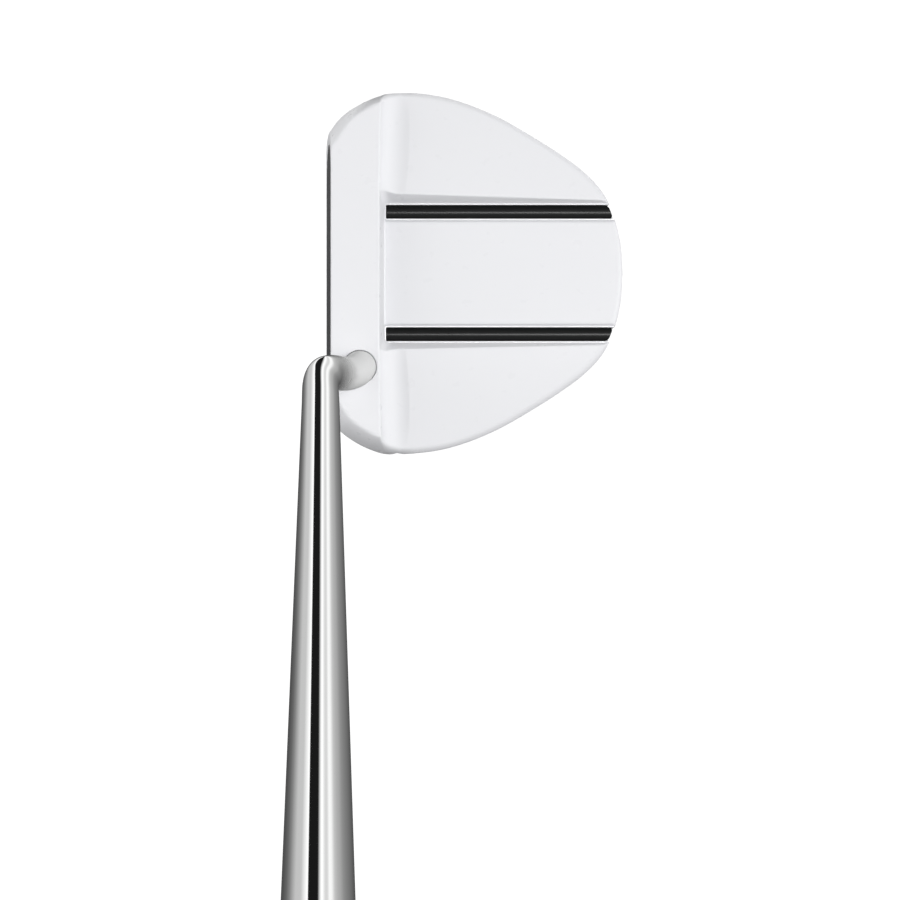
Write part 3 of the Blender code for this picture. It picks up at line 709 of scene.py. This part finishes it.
def groove_cutter(side):
    """The groove that an alignment bar sits in, open above and through the rear edge."""
    inner = side * (BAR_INNER - BAR_GROOVE_GAP)
    outer = side * (BAR_OUTER + BAR_GROOVE_GAP)
    front = BAR_FRONT - BAR_GROOVE_GAP
    outline = [(front, inner), (GROOVE_REAR, inner), (GROOVE_REAR, outer), (front, outer)]
    return prism("groove", outline, BAR_BOTTOM - BAR_GROOVE_GAP, GROOVE_TOP)


def insert_outline(inset):
    """A long slot shape with round ends, in the plane of the face."""
    radius = (INSERT_HIGH - INSERT_LOW) / 2 - inset
    middle = (INSERT_HIGH + INSERT_LOW) / 2
    straight = INSERT_HALF_LENGTH - inset - radius
    outline = []
    for end, start in ((1, -90), (-1, 90)):
        for step in range(INSERT_END_STEPS + 1):
            angle = math.radians(start + 180 * step / INSERT_END_STEPS)
            outline.append((end * straight + radius * math.cos(angle), middle + radius * math.sin(angle)))
    return outline


def onto_face(mesh):
    """Turns a plate drawn flat into the face: its X to the toe, its Y up the face, its Z inward."""
    to_toe = Vector((0.0, 1.0, 0.0))
    up_face = Vector((math.sin(LOFT), 0.0, math.cos(LOFT)))
    turn = Matrix((to_toe, up_face, to_toe.cross(up_face))).transposed().to_4x4()
    mesh.transform(Matrix.Translation((FACE_AT_SOLE * MM, 0.0, 0.0)) @ turn)
    return mesh


def middle_of(node):
    """The centre of a CAD node's box, in millimetres."""
    low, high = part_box(node)
    return (low + high) / 2 / MM


def radius_of(node):
    """The radius of an upright round CAD node, in millimetres."""
    low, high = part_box(node)
    return (high.x - low.x) / 2 / MM


def box_mm(node):
    """The lowest and highest corners of a CAD node's box, in millimetres."""
    low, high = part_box(node)
    return low / MM, high / MM


TIP_RADIUS = 4.51
BORE_CLEARANCE = 0.16
SHAFT_BORE = middle_of("shaft_bond")
PLATE_LOW, PLATE_HIGH = box_mm("sole_plate")
PLATE_CORNER = 6.0
PLATE_GAP = 0.18
WEIGHT_GAP = 0.3
WEIGHT_SETS = ("toe", "heel")
SCREW_NUMBERS = (1, 2, 3, 4)


def head_mesh():
    """The whole head casting: bar, crown, hull and everything cut into them."""
    head = scratch_object("head", bar_blank())
    combine(head, "UNION", hull_blank())
    combine(head, "INTERSECT", top_form())
    cut(head, channel_cutter(), platform_edge_cutter())
    cut(head, groove_cutter(1), groove_cutter(-1))
    pocket = prism("insert_pocket", insert_outline(-INSERT_GAP), -TRIM, INSERT_POCKET_DEPTH)
    cut(head, onto_face(pocket))
    bore_low = box_mm("shaft_bond")[0].z
    bore_radius = TIP_RADIUS + BORE_CLEARANCE
    cut(head, disc(bore_radius, bore_low, BAR_TOP + TRIM, SHAFT_BORE.x, SHAFT_BORE.y))
    half = PLATE_HIGH.y + PLATE_GAP
    corner = PLATE_CORNER + PLATE_GAP
    recess = rounded_rectangle(PLATE_LOW.x - PLATE_GAP, PLATE_HIGH.x + PLATE_GAP, half, corner)
    cut(head, prism("plate_recess", recess, -TRIM, PLATE_HIGH.z + PLATE_GAP))
    for end in WEIGHT_SETS:
        place = middle_of(f"{end}_weight_screw")
        pocket_top = box_mm(f"{end}_weight_washer")[1].z + WEIGHT_GAP
        radius = radius_of(f"{end}_weight_screw")
        cut(head, disc(radius + WEIGHT_GAP, -TRIM, pocket_top, place.x, place.y))
    return finished(head)


def build_head():
    """The casting, remeshed finely so that every edge takes the round of cast and painted metal."""
    head = add_piece("head_casting", head_mesh(), "club", "white_paint", "head_body")
    remesh = head.modifiers.new("fine_skin", "REMESH")
    remesh.mode = "VOXEL"
    remesh.voxel_size = SKIN_VOXEL * MM
    remesh.use_smooth_shade = True
    smooth = head.modifiers.new("rounded_edges", "SMOOTH")
    smooth.factor = 0.5
    smooth.iterations = SKIN_SMOOTHING


def alignment_ring(side, at_rear):
    """Front or rear end of an alignment bar: flat below, gently round on top."""
    middle = (BAR_INNER + BAR_OUTER) / 2
    half = (BAR_OUTER - BAR_INNER) / 2
    section = [(BAR_INNER, BAR_BOTTOM), (BAR_OUTER, BAR_BOTTOM)]
    for step in range(BAR_CROWN_STEPS + 1):
        across = math.cos(math.pi * step / BAR_CROWN_STEPS)
        section.append((middle + half * across, BAR_EDGE_Z + BAR_CROWN * (1 - across**2)))
    ring = []
    for y, z in section:
        x = BAR_FRONT
        if at_rear:
            past = max(0.0, abs(y - middle) - (half - BAR_REAR_CORNER))
            cut_back = BAR_REAR_CORNER - math.sqrt(max(0.0, BAR_REAR_CORNER**2 - past**2))
            x = rear_edge_x(y, BAR_REAR_INSET) - cut_back
        ring.append((x, side * y, z))
    return ring


def build_alignment_bars():
    for side, end in ((1, "toe"), (-1, "heel")):
        name = f"{end}_alignment_bar"
        rings = [alignment_ring(side, at_rear) for at_rear in (False, True)]
        bar = add_piece(f"{end}_sight_bar", loft(name, rings), "club", "black_bar", name)
        soften(bar, 0.25)


def lip_path(side):
    """Runs beside an alignment bar from its rear end, round its front end and back."""
    inner = BAR_INNER - LIP_AWAY
    outer = BAR_OUTER + LIP_AWAY
    front = BAR_FRONT - LIP_AWAY
    path = [(rear_edge_x(inner, LIP_REAR_INSET), inner)]
    for centre_y, start in ((inner + LIP_CORNER, 270), (outer - LIP_CORNER, 180)):
        for step in range(LIP_STEPS + 1):
            angle = math.radians(start - 90 * step / LIP_STEPS)
            x = front + LIP_CORNER + LIP_CORNER * math.cos(angle)
            path.append((x, centre_y + LIP_CORNER * math.sin(angle)))
    path.append((rear_edge_x(outer, LIP_REAR_INSET), outer))
    return [Vector((x, side * y)) for x, y in path]


def build_bar_lips():
    """The narrow rounded rim of the casting round each alignment bar."""
    for side, end in ((1, "toe"), (-1, "heel")):
        path = lip_path(side)
        rings = []
        for i, point in enumerate(path):
            along = (path[min(i + 1, len(path) - 1)] - path[max(i - 1, 0)]).normalized()
            out = Vector((along.y, -along.x))
            section = [(LIP_HALF, LIP_BOTTOM), (-LIP_HALF, LIP_BOTTOM)]
            for step in range(LIP_STEPS + 1):
                angle = math.radians(180 - 180 * step / LIP_STEPS)
                section.append((LIP_HALF * math.cos(angle), LIP_TOP - LIP_CROWN * (1 - math.sin(angle))))
            rings.append([(*(point + out * away), z) for away, z in section])
        lip = add_piece(f"{end}_bar_lip", loft("lip", rings), "club", "white_paint")
        lip.data.materials[0] = RIM_PAINT


def build_face_insert():
    insert = scratch_object("insert", prism("insert", insert_outline(0.0), 0.0, INSERT_THICK))
    pitch = (INSERT_HIGH - INSERT_LOW) / (INSERT_GROOVES + 1)
    reach = INSERT_GROOVE_REACH
    for number in range(INSERT_GROOVES):
        y = INSERT_LOW + (number + 1) * pitch
        low, high = y - INSERT_GROOVE_HALF, y + INSERT_GROOVE_HALF
        outline = [(-reach, low), (reach, low), (reach, high), (-reach, high)]
        cut(insert, prism("groove", outline, -SMALL_TRIM, INSERT_GROOVE_DEPTH))
    mesh = onto_face(finished(insert))
    soften(add_piece("grooved_face_insert", mesh, "club", "insert_dark", "face_insert"), 0.1, segments=2)


# ---------------------------------------------------------------- sole

SINK_GAP = 0.25
SCREW_RIM_TOP = 0.35
SCREW_CONE_TOP = 1.55
SCREW_SHANK = 1.2
SCREW_POINT = 0.72
SCREW_POINT_LENGTH = 0.8
SCREW_SOCKET = 1.2
SCREW_SOCKET_DEPTH = 0.9
PLATE_HOLE = 1.5
PLATE_CONE_TOP = 1.6

WEIGHT_HEAD_TOP = 3.4
WEIGHT_SHANK = 4.0
WEIGHT_CHAMFER = 0.5
WEIGHT_SOCKET = 2.6
WEIGHT_SOCKET_DEPTH = 2.2
DIAL_INNER = 5.35
DIAL_OUTER = 5.65
DIAL_DEPTH = 0.2
WASHER_BORE = 4.3
WEIGHT_STEPS = 128


def build_sole_plate():
    outline = rounded_rectangle(PLATE_LOW.x, PLATE_HIGH.x, PLATE_HIGH.y, PLATE_CORNER)
    cover = scratch_object("cover", prism("cover", outline, 0.0, PLATE_HIGH.z))
    for number in SCREW_NUMBERS:
        place = middle_of(f"sole_plate_screw_{number}")
        rim = radius_of(f"sole_plate_screw_{number}") + SINK_GAP
        sink = [
            (0.0, -SMALL_TRIM), (rim, -SMALL_TRIM), (rim, SCREW_RIM_TOP), (PLATE_HOLE, PLATE_CONE_TOP),
            (PLATE_HOLE, TRIM), (0.0, TRIM),
        ]
        cut(cover, moved(spun("countersink", sink), place.x, place.y))
    soften(add_piece("sole_cover", finished(cover), "club", "plate_metal", "sole_plate"), 0.25)


def hexagon(radius):
    angles = [math.radians(60 * i) for i in range(6)]
    return [(radius * math.cos(angle), radius * math.sin(angle)) for angle in angles]


def build_plate_screws():
    for number in SCREW_NUMBERS:
        node = f"sole_plate_screw_{number}"
        place = middle_of(node)
        low, high = box_mm(node)
        radius = radius_of(node)
        profile = [
            (0.0, high.z), (SCREW_POINT, high.z), (SCREW_SHANK, high.z - SCREW_POINT_LENGTH),
            (SCREW_SHANK, SCREW_CONE_TOP), (radius, SCREW_RIM_TOP), (radius, low.z), (0.0, low.z),
        ]
        screw = scratch_object("screw", spun("screw", profile))
        cut(screw, prism("socket", hexagon(SCREW_SOCKET), -TRIM, low.z + SCREW_SOCKET_DEPTH))
        mesh = moved(finished(screw), place.x, place.y)
        soften(add_piece(f"cover_screw_{number}", mesh, "club", "screw_steel", node), 0.12)


def build_weights():
    for end in WEIGHT_SETS:
        node = f"{end}_weight_screw"
        place = middle_of(node)
        low, high = box_mm(node)
        head_radius = radius_of(node)
        profile = [
            (0.0, high.z), (WEIGHT_SHANK - WEIGHT_CHAMFER, high.z), (WEIGHT_SHANK, high.z - WEIGHT_CHAMFER),
            (WEIGHT_SHANK, WEIGHT_HEAD_TOP), (head_radius, WEIGHT_HEAD_TOP), (head_radius, low.z),
            (0.0, low.z),
        ]
        weight = scratch_object("weight", spun("weight", profile, WEIGHT_STEPS))
        cut(weight, prism("socket", hexagon(WEIGHT_SOCKET), -TRIM, low.z + WEIGHT_SOCKET_DEPTH))
        under, dial = -SMALL_TRIM, low.z + DIAL_DEPTH
        ring = [(DIAL_INNER, under), (DIAL_OUTER, under), (DIAL_OUTER, dial), (DIAL_INNER, dial)]
        cut(weight, spun("dial_ring", ring, WEIGHT_STEPS, closed=True))
        mesh = moved(finished(weight), place.x, place.y)
        soften(add_piece(f"{end}_sole_weight", mesh, f"{end}_weight", "weight_steel", node), 0.2)
        node = f"{end}_weight_washer"
        low, high = box_mm(node)
        ring = [
            (head_radius, high.z), (head_radius, low.z), (WASHER_BORE, low.z), (WASHER_BORE, high.z),
        ]
        mesh = moved(spun("washer", ring, WEIGHT_STEPS, closed=True), place.x, place.y)
        soften(add_piece(f"{end}_rubber_washer", mesh, f"{end}_washer", "washer_rubber", node), 0.2)


# ---------------------------------------------------------------- shaft and grip

SHAFT_LEAN = math.radians(19.0)
SHAFT_AXIS = Vector((-40.6, -8.6, 0.0))
SHAFT_UP = Vector((0.0, -math.sin(SHAFT_LEAN), math.cos(SHAFT_LEAN)))
CLUB_LENGTH = 889.0
BUTT_RADIUS = 7.5
FIRST_STEP = 330.0
STEP_COUNT = 11
STEP_SPACING = 29.0
STEP_LENGTH = 1.0
STEP_PARTS = 4
BEND_POINTS = [
    (-29.8, -27.0, 8.0), (-29.8, -27.0, 18.0), (-29.82, -27.03, 25.0), (-30.8, -28.3, 31.0),
    (-32.7, -29.35, 38.0), (-34.7, -29.85, 45.0), (-36.5, -29.95, 52.5), (-38.4, -30.3, 60.5),
    (-39.8, -31.3, 67.0),
]
STRAIGHT_POINTS = (78.0, 95.0)
BEND_STEPS = 10
SHAFT_END = CLUB_LENGTH - 2.2


def on_axis(distance):
    """A point this far up the shaft's straight axis from the ground."""
    return SHAFT_AXIS + distance * SHAFT_UP


def shaft_route():
    """Points up the middle of the shaft with the outer radius at each."""
    bends = [Vector(point) for point in BEND_POINTS] + [on_axis(distance) for distance in STRAIGHT_POINTS]
    route = [(point, TIP_RADIUS) for point in smooth_path(bends, BEND_STEPS)]
    growth = (BUTT_RADIUS - TIP_RADIUS) / STEP_COUNT
    for number in range(STEP_COUNT):
        distance = FIRST_STEP + number * STEP_SPACING
        low_radius = TIP_RADIUS + number * growth
        for part in range(STEP_PARTS + 1):
            share = part / STEP_PARTS
            radius = low_radius + eased(share, 0.0, 1.0) * growth
            route.append((on_axis(distance + share * STEP_LENGTH), radius))
    route.append((on_axis(SHAFT_END), BUTT_RADIUS))
    return route


def build_shaft():
    curve = bpy.data.curves.new("shaft_route", "CURVE")
    curve.dimensions = "3D"
    curve.bevel_depth = MM
    curve.bevel_resolution = 22
    curve.use_fill_caps = True
    curve.twist_mode = "MINIMUM"
    spline = curve.splines.new("POLY")
    route = shaft_route()
    spline.points.add(len(route) - 1)
    for point, (place, radius) in zip(spline.points, route):
        point.co = (*(place * MM), 1.0)
        point.radius = radius
    holder = scratch_object("shaft_route", curve)
    mesh = finished(holder)
    bm = bmesh.new()
    bm.from_mesh(mesh)
    bmesh.ops.remove_doubles(bm, verts=bm.verts, dist=1e-7)
    mesh = closed_mesh("chromed_shaft", bm)
    add_piece("chromed_shaft", mesh, "club", "chrome", "shaft")
    mesh.shade_smooth()
    mesh.set_sharp_from_angle(angle=math.radians(40))


GRIP_LENGTH = 267.0
# Height, half width, depth behind the axis and depth in front of it, up the grip.
GRIP_SECTIONS = [
    (0.0, 9.6, 9.6, 9.4), (4.0, 10.2, 10.2, 9.7), (60.0, 10.9, 11.3, 9.8), (130.0, 12.0, 13.0, 10.0),
    (195.0, 13.1, 15.3, 10.2), (235.0, 13.8, 17.4, 10.3), (256.0, 13.9, 18.2, 10.3),
    (264.5, 13.3, 17.5, 10.0), (267.0, 11.8, 15.8, 9.0),
]
GRIP_TABLE = blended(GRIP_SECTIONS, 8)
GRIP_SIDES = 144
GRIP_ROWS = 400
GRIP_FIT = 0.15
GRIP_SQUARENESS = 0.62
GRIP_FLATNESS = 0.5

GROOVE_DEPTH = 0.28
PLAIN_BELOW = 10.0
PLAIN_ABOVE = 14.0
GROOVE_FADE = 3.0
FRONT_FROM = 0.15
FRONT_PITCH = 3.2
FRONT_EDGE = 0.80
BACK_FROM = 0.05
BACK_PITCH = 7.0
BACK_SLANT = 9
CREST = 0.55  # how high on the crossing waves the grooves begin
FRONT_SHARPNESS = 8
BACK_SHARPNESS = 6


def along_grip(height):
    """Half width, depth behind the axis and depth in front of it, at a height up the grip."""
    for low, high in zip(GRIP_TABLE, GRIP_TABLE[1:]):
        if low[0] <= height <= high[0]:
            share = (height - low[0]) / (high[0] - low[0])
            return [mixed(a, b, share) for a, b in zip(low[1:], high[1:])]
    return GRIP_TABLE[-1][1:]


def grip_texture(turn, height):
    """How far the moulded pattern sinks in: bands across the front, crossing slants on the back."""
    margin = min(height - PLAIN_BELOW, GRIP_LENGTH - PLAIN_ABOVE - height)
    fade = max(0.0, min(1.0, margin / GROOVE_FADE))
    if math.sin(turn) > FRONT_FROM:
        wave = math.cos(2 * math.pi * height / FRONT_PITCH)
        edge = max(0.0, min(1.0, (FRONT_EDGE - abs(math.cos(turn))) * FRONT_SHARPNESS))
        return fade * edge * GROOVE_DEPTH * max(0.0, wave) ** 2
    first = math.cos(2 * math.pi * height / BACK_PITCH + BACK_SLANT * turn)
    second = math.cos(2 * math.pi * height / BACK_PITCH - BACK_SLANT * turn)
    side = max(0.0, min(1.0, (BACK_FROM - math.sin(turn)) * BACK_SHARPNESS))
    return fade * side * GROOVE_DEPTH * max(0.0, max(first, second) - CREST) / (1 - CREST)


def grip_point(turn, height):
    half_width, back, front = along_grip(height)
    across, deep = math.cos(turn), math.sin(turn)
    if deep > 0:
        across = math.copysign(abs(across) ** GRIP_SQUARENESS, across)
        x, y = half_width * across, front * deep**GRIP_FLATNESS
    else:
        x, y = half_width * across, back * deep
    length = math.hypot(x, y)
    shrink = 1 - grip_texture(turn, height) / length
    return x * shrink, y * shrink


def build_grip():
    start = CLUB_LENGTH - GRIP_LENGTH
    inner = BUTT_RADIUS + GRIP_FIT
    rings = []
    for row in range(GRIP_ROWS + 1):
        height = GRIP_LENGTH * row / GRIP_ROWS
        ring = []
        for side in range(GRIP_SIDES):
            turn = 2 * math.pi * side / GRIP_SIDES
            x, y = grip_point(turn, height)
            ring.append((x, y, start + height))
        rings.append(ring)
    grip = scratch_object("grip", loft("grip", rings))
    cut(grip, disc(inner, start - TRIM, CLUB_LENGTH + TRIM, steps=GRIP_SIDES))
    mesh = onto_shaft(finished(grip))
    add_piece("moulded_grip", mesh, "club", "grip_rubber", "grip")
    mesh.shade_smooth()
    mesh.set_sharp_from_angle(angle=math.radians(50))


def onto_shaft(mesh):
    """Moves a mesh drawn about Z, with heights along the club, onto the shaft's axis."""
    mesh.transform(Matrix.Translation(SHAFT_AXIS * MM) @ Matrix.Rotation(SHAFT_LEAN, 4, "X"))
    return mesh


CAP_TOP = CLUB_LENGTH + 0.6
CAP_UNDER = SHAFT_END + 0.3
CAP_FLANGE = 8.1
CAP_ROUND = (1.0, 0.8)
PLUG_RADIUS = BUTT_RADIUS - 0.9
PLUG_LENGTH = 8.0
VENT_RADIUS = 1.1
VENT_RIM = (0.4, 0.2)
VENT_DEPTH = 3.0


def build_grip_cap():
    """The plug with a flange that closes the grip's top, with its small vent."""
    low = CAP_UNDER - PLUG_LENGTH
    vent_low = CAP_TOP - VENT_DEPTH
    profile = [
        (VENT_RADIUS, vent_low), (VENT_RADIUS, CAP_TOP - VENT_RIM[1]), (VENT_RADIUS + VENT_RIM[0], CAP_TOP),
        (CAP_FLANGE - CAP_ROUND[0], CAP_TOP), (CAP_FLANGE, CAP_TOP - CAP_ROUND[1]),
        (CAP_FLANGE, CAP_UNDER), (PLUG_RADIUS, CAP_UNDER), (PLUG_RADIUS, low), (0.0, low),
        (0.0, vent_low),
    ]
    mesh = onto_shaft(spun("cap", profile))
    soften(add_piece("grip_cap", mesh, "club", "grip_rubber", "grip_end_cap"), 0.2)


def finish_hidden_nodes():
    """The inner pieces keep their CAD shape and take the finished materials."""
    looks = {
        "insert_bond_pad": "adhesive",
        "cavity_damper": "damper_rubber",
        "shaft_bond": "adhesive",
        "shaft_tip_plug": "plug_plastic",
        "grip_tape": "tape",
    }
    for name, slot in looks.items():
        for place in nodes[name].material_slots:
            place.material = LOOKS[slot]


# ---------------------------------------------------------------- stage, light and camera

FLOOR_Z = -0.12
FLOOR_SIZE = 30.0
STAGE_WHITE = 1.1

# Softbox over the rear of the head, narrow from heel to toe.
SOFTBOX_PLACE = (1.1, 0.06, 1.95)
SOFTBOX_SIZE = (2.5, 0.34)
SOFTBOX_POWER = 22.0


def stage_material():
    material = bpy.data.materials.new("white_floor")
    material.use_nodes = True
    tree = material.node_tree
    tree.nodes.clear()
    glow = tree.nodes.new("ShaderNodeEmission")
    glow.inputs["Strength"].default_value = STAGE_WHITE
    output = tree.nodes.new("ShaderNodeOutputMaterial")
    tree.links.new(glow.outputs["Emission"], output.inputs["Surface"])
    return material


def build_floor():
    bm = bmesh.new()
    bmesh.ops.create_grid(bm, x_segments=1, y_segments=1, size=FLOOR_SIZE / 2)
    mesh = bpy.data.meshes.new("floor")
    bm.to_mesh(mesh)
    bm.free()
    floor = bpy.data.objects.new("floor", mesh)
    bpy.context.scene.collection.objects.link(floor)
    floor.location.z = FLOOR_Z
    mesh.materials.append(stage_material())
    floor.visible_diffuse = False
    floor.visible_glossy = False
    floor.visible_shadow = False


class Sky:
    """Small helper for the world's node maths."""

    def __init__(self, world):
        world.use_nodes = True
        self.tree = world.node_tree
        self.tree.nodes.clear()
        self.direction = self.tree.nodes.new("ShaderNodeTexCoord").outputs["Generated"]

    def maths(self, operation, *values):
        node = self.tree.nodes.new("ShaderNodeMath")
        node.operation = operation
        for socket, value in zip(node.inputs, values):
            self.feed(socket, value)
        return node.outputs[0]

    def feed(self, socket, value):
        if isinstance(value, (int, float, tuple)):
            socket.default_value = value
        else:
            self.tree.links.new(value, socket)

    def along(self, axis):
        """How far the direction points along an axis, from -1 to 1."""
        node = self.tree.nodes.new("ShaderNodeVectorMath")
        node.operation = "DOT_PRODUCT"
        self.tree.links.new(self.direction, node.inputs[0])
        node.inputs[1].default_value = axis
        return node.outputs["Value"]

    def ramp(self, value, stops):
        """Brightness by position, from (position, brightness) pairs."""
        node = self.tree.nodes.new("ShaderNodeValToRGB")
        elements = node.color_ramp.elements
        while len(elements) < len(stops):
            elements.new(0.5)
        for element, (position, level) in zip(elements, stops):
            element.position = position
            element.color = grey(level)
        self.tree.links.new(value, node.inputs["Fac"])
        return node.outputs["Color"]

    def range(self, value, low, high):
        node = self.tree.nodes.new("ShaderNodeMapRange")
        node.interpolation_type = "SMOOTHSTEP"
        node.inputs["From Min"].default_value = low
        node.inputs["From Max"].default_value = high
        self.tree.links.new(value, node.inputs["Value"])
        return node.outputs["Result"]

    def mix(self, factor, one, two):
        node = self.tree.nodes.new("ShaderNodeMix")
        node.data_type = "RGBA"
        for name, value in (("Factor", factor), ("A", one), ("B", two)):
            self.feed(node.inputs[name], value)
        return node.outputs["Result"]


# Brightness all round the shaft's axis, by angle in degrees from the side that faces the toe.
SHAFT_BANDS = [
    (-180, 0.07), (-150, 0.09), (-127, 0.15), (-110, 0.27), (-95, 0.47), (-83, 0.64), (-62, 0.66),
    (-51, 0.95), (-39, 1.25), (-36.5, 1.25), (-35, 0.012), (-1, 0.012), (3, 0.45), (8, 1.0), (13, 1.3),
    (18, 1.1), (25, 0.82), (32, 0.8), (41, 1.16), (49, 1.08), (56, 0.8), (61, 0.64), (72, 0.52),
    (83, 0.45), (96, 0.32), (110, 0.25), (128, 0.19), (155, 0.11), (180, 0.07),
]
# Brightness of the sky from straight down, 0, to straight up, 1.
SKY_BY_HEIGHT = [
    (0.0, 0.4), (0.2, 0.25), (0.5, 0.2), (0.62, 0.5), (0.75, 0.69), (0.9, 0.54), (1.0, 0.4),
]
# How far the sky darkens towards the toe and towards the heel.
TOE_DIM = 0.95
HEEL_DIM = 0.76
END_GLOW = 2.0  # how bright the sky gets ahead of the face and behind the head
SIDE_COLOUR = (0.05, 0.05, 0.055, 1.0)
FACE_SIDE_SHARE = 0.25  # how much of the side dimming is left ahead of the face

# Where the sky's changes start and end, as how far a direction points along an axis.
HORIZON_FADE = (-0.25, 0.15)
END_FADE = (0.45, 0.95)
TOE_HEEL_FADE = (-0.3, 0.3)
SIDE_FADE = (0.25, 0.7)
FACE_FADE = (-0.5, 0.15)
SHAFT_FADE = (0.25, 0.6)


def grey(level):
    return (level, level, level, 1.0)


def build_world():
    world = bpy.data.worlds.new("studio")
    bpy.context.scene.world = world
    sky = Sky(world)
    height = sky.maths("MULTIPLY_ADD", sky.along((0.0, 0.0, 1.0)), 0.5, 0.5)
    dome = sky.ramp(height, SKY_BY_HEIGHT)
    across = sky.along((1.0, 0.0, 0.0))
    above_horizon = sky.range(sky.along((0.0, 0.0, 1.0)), *HORIZON_FADE)
    endways = sky.range(sky.maths("ABSOLUTE", across), *END_FADE)
    endways = sky.maths("MULTIPLY", endways, above_horizon)
    dome = sky.mix(endways, dome, grey(END_GLOW))
    toeward = sky.along((0.0, 1.0, 0.0))
    side_dim = sky.maths("MULTIPLY_ADD", sky.range(toeward, *TOE_HEEL_FADE), TOE_DIM - HEEL_DIM, HEEL_DIM)
    sideways = sky.range(sky.maths("ABSOLUTE", toeward), *SIDE_FADE)
    behind_face = sky.range(across, *FACE_FADE)
    side_share = sky.maths("MULTIPLY_ADD", behind_face, 1 - FACE_SIDE_SHARE, FACE_SIDE_SHARE)
    sideways = sky.maths("MULTIPLY", sideways, side_share)
    dome = sky.mix(sky.maths("MULTIPLY", sideways, side_dim), dome, SIDE_COLOUR)
    out = sky.along((0.0, math.cos(SHAFT_LEAN), math.sin(SHAFT_LEAN)))
    turn = sky.maths("MULTIPLY_ADD", sky.maths("ARCTAN2", across, out), 0.5 / math.pi, 0.5)
    bands = sky.ramp(turn, [((angle + 180) / 360, level) for angle, level in SHAFT_BANDS])
    down_shaft = sky.range(sky.along(tuple(-SHAFT_UP)), *SHAFT_FADE)
    seen_light = sky.mix(down_shaft, dome, bands)
    camera_ray = sky.tree.nodes.new("ShaderNodeLightPath").outputs["Is Camera Ray"]
    colour = sky.mix(camera_ray, seen_light, grey(STAGE_WHITE))
    background = sky.tree.nodes.new("ShaderNodeBackground")
    sky.tree.links.new(colour, background.inputs["Color"])
    output = sky.tree.nodes.new("ShaderNodeOutputWorld")
    sky.tree.links.new(background.outputs["Background"], output.inputs["Surface"])


def build_softbox():
    light = bpy.data.lights.new("softbox", "AREA")
    light.shape = "RECTANGLE"
    light.size, light.size_y = SOFTBOX_SIZE
    light.energy = SOFTBOX_POWER
    lamp = bpy.data.objects.new("softbox", light)
    bpy.context.scene.collection.objects.link(lamp)
    lamp.location = SOFTBOX_PLACE
    lamp.rotation_euler = (0.0, math.atan2(SOFTBOX_PLACE[0], SOFTBOX_PLACE[2]), 0.0)
    lamp.visible_camera = False


CAMERA_PLACE = (-0.040, -0.0501, 0.471)
CAMERA_LENS = 64.2
CAMERA_SHIFT = 0.141


def build_camera():
    data = bpy.data.cameras.new("camera")
    data.lens = CAMERA_LENS
    data.sensor_width = 36.0
    data.shift_x = CAMERA_SHIFT
    data.clip_end = 50.0
    camera = bpy.data.objects.new("camera", data)
    bpy.context.scene.collection.objects.link(camera)
    camera.location = CAMERA_PLACE
    bpy.context.scene.camera = camera


def build_scene():
    build_head()
    build_alignment_bars()
    build_bar_lips()
    build_face_insert()
    build_sole_plate()
    build_plate_screws()
    build_weights()
    build_shaft()
    build_grip()
    build_grip_cap()
    finish_hidden_nodes()
    build_floor()
    build_world()
    build_softbox()
    build_camera()
    # Polished pieces mirror the studio alone, as in a shot lit through diffusers.
    for obj in bpy.data.objects:
        if obj.type == "MESH":
            obj.visible_glossy = False
    bpy.context.scene.view_settings.view_transform = "Standard"


build_scene()
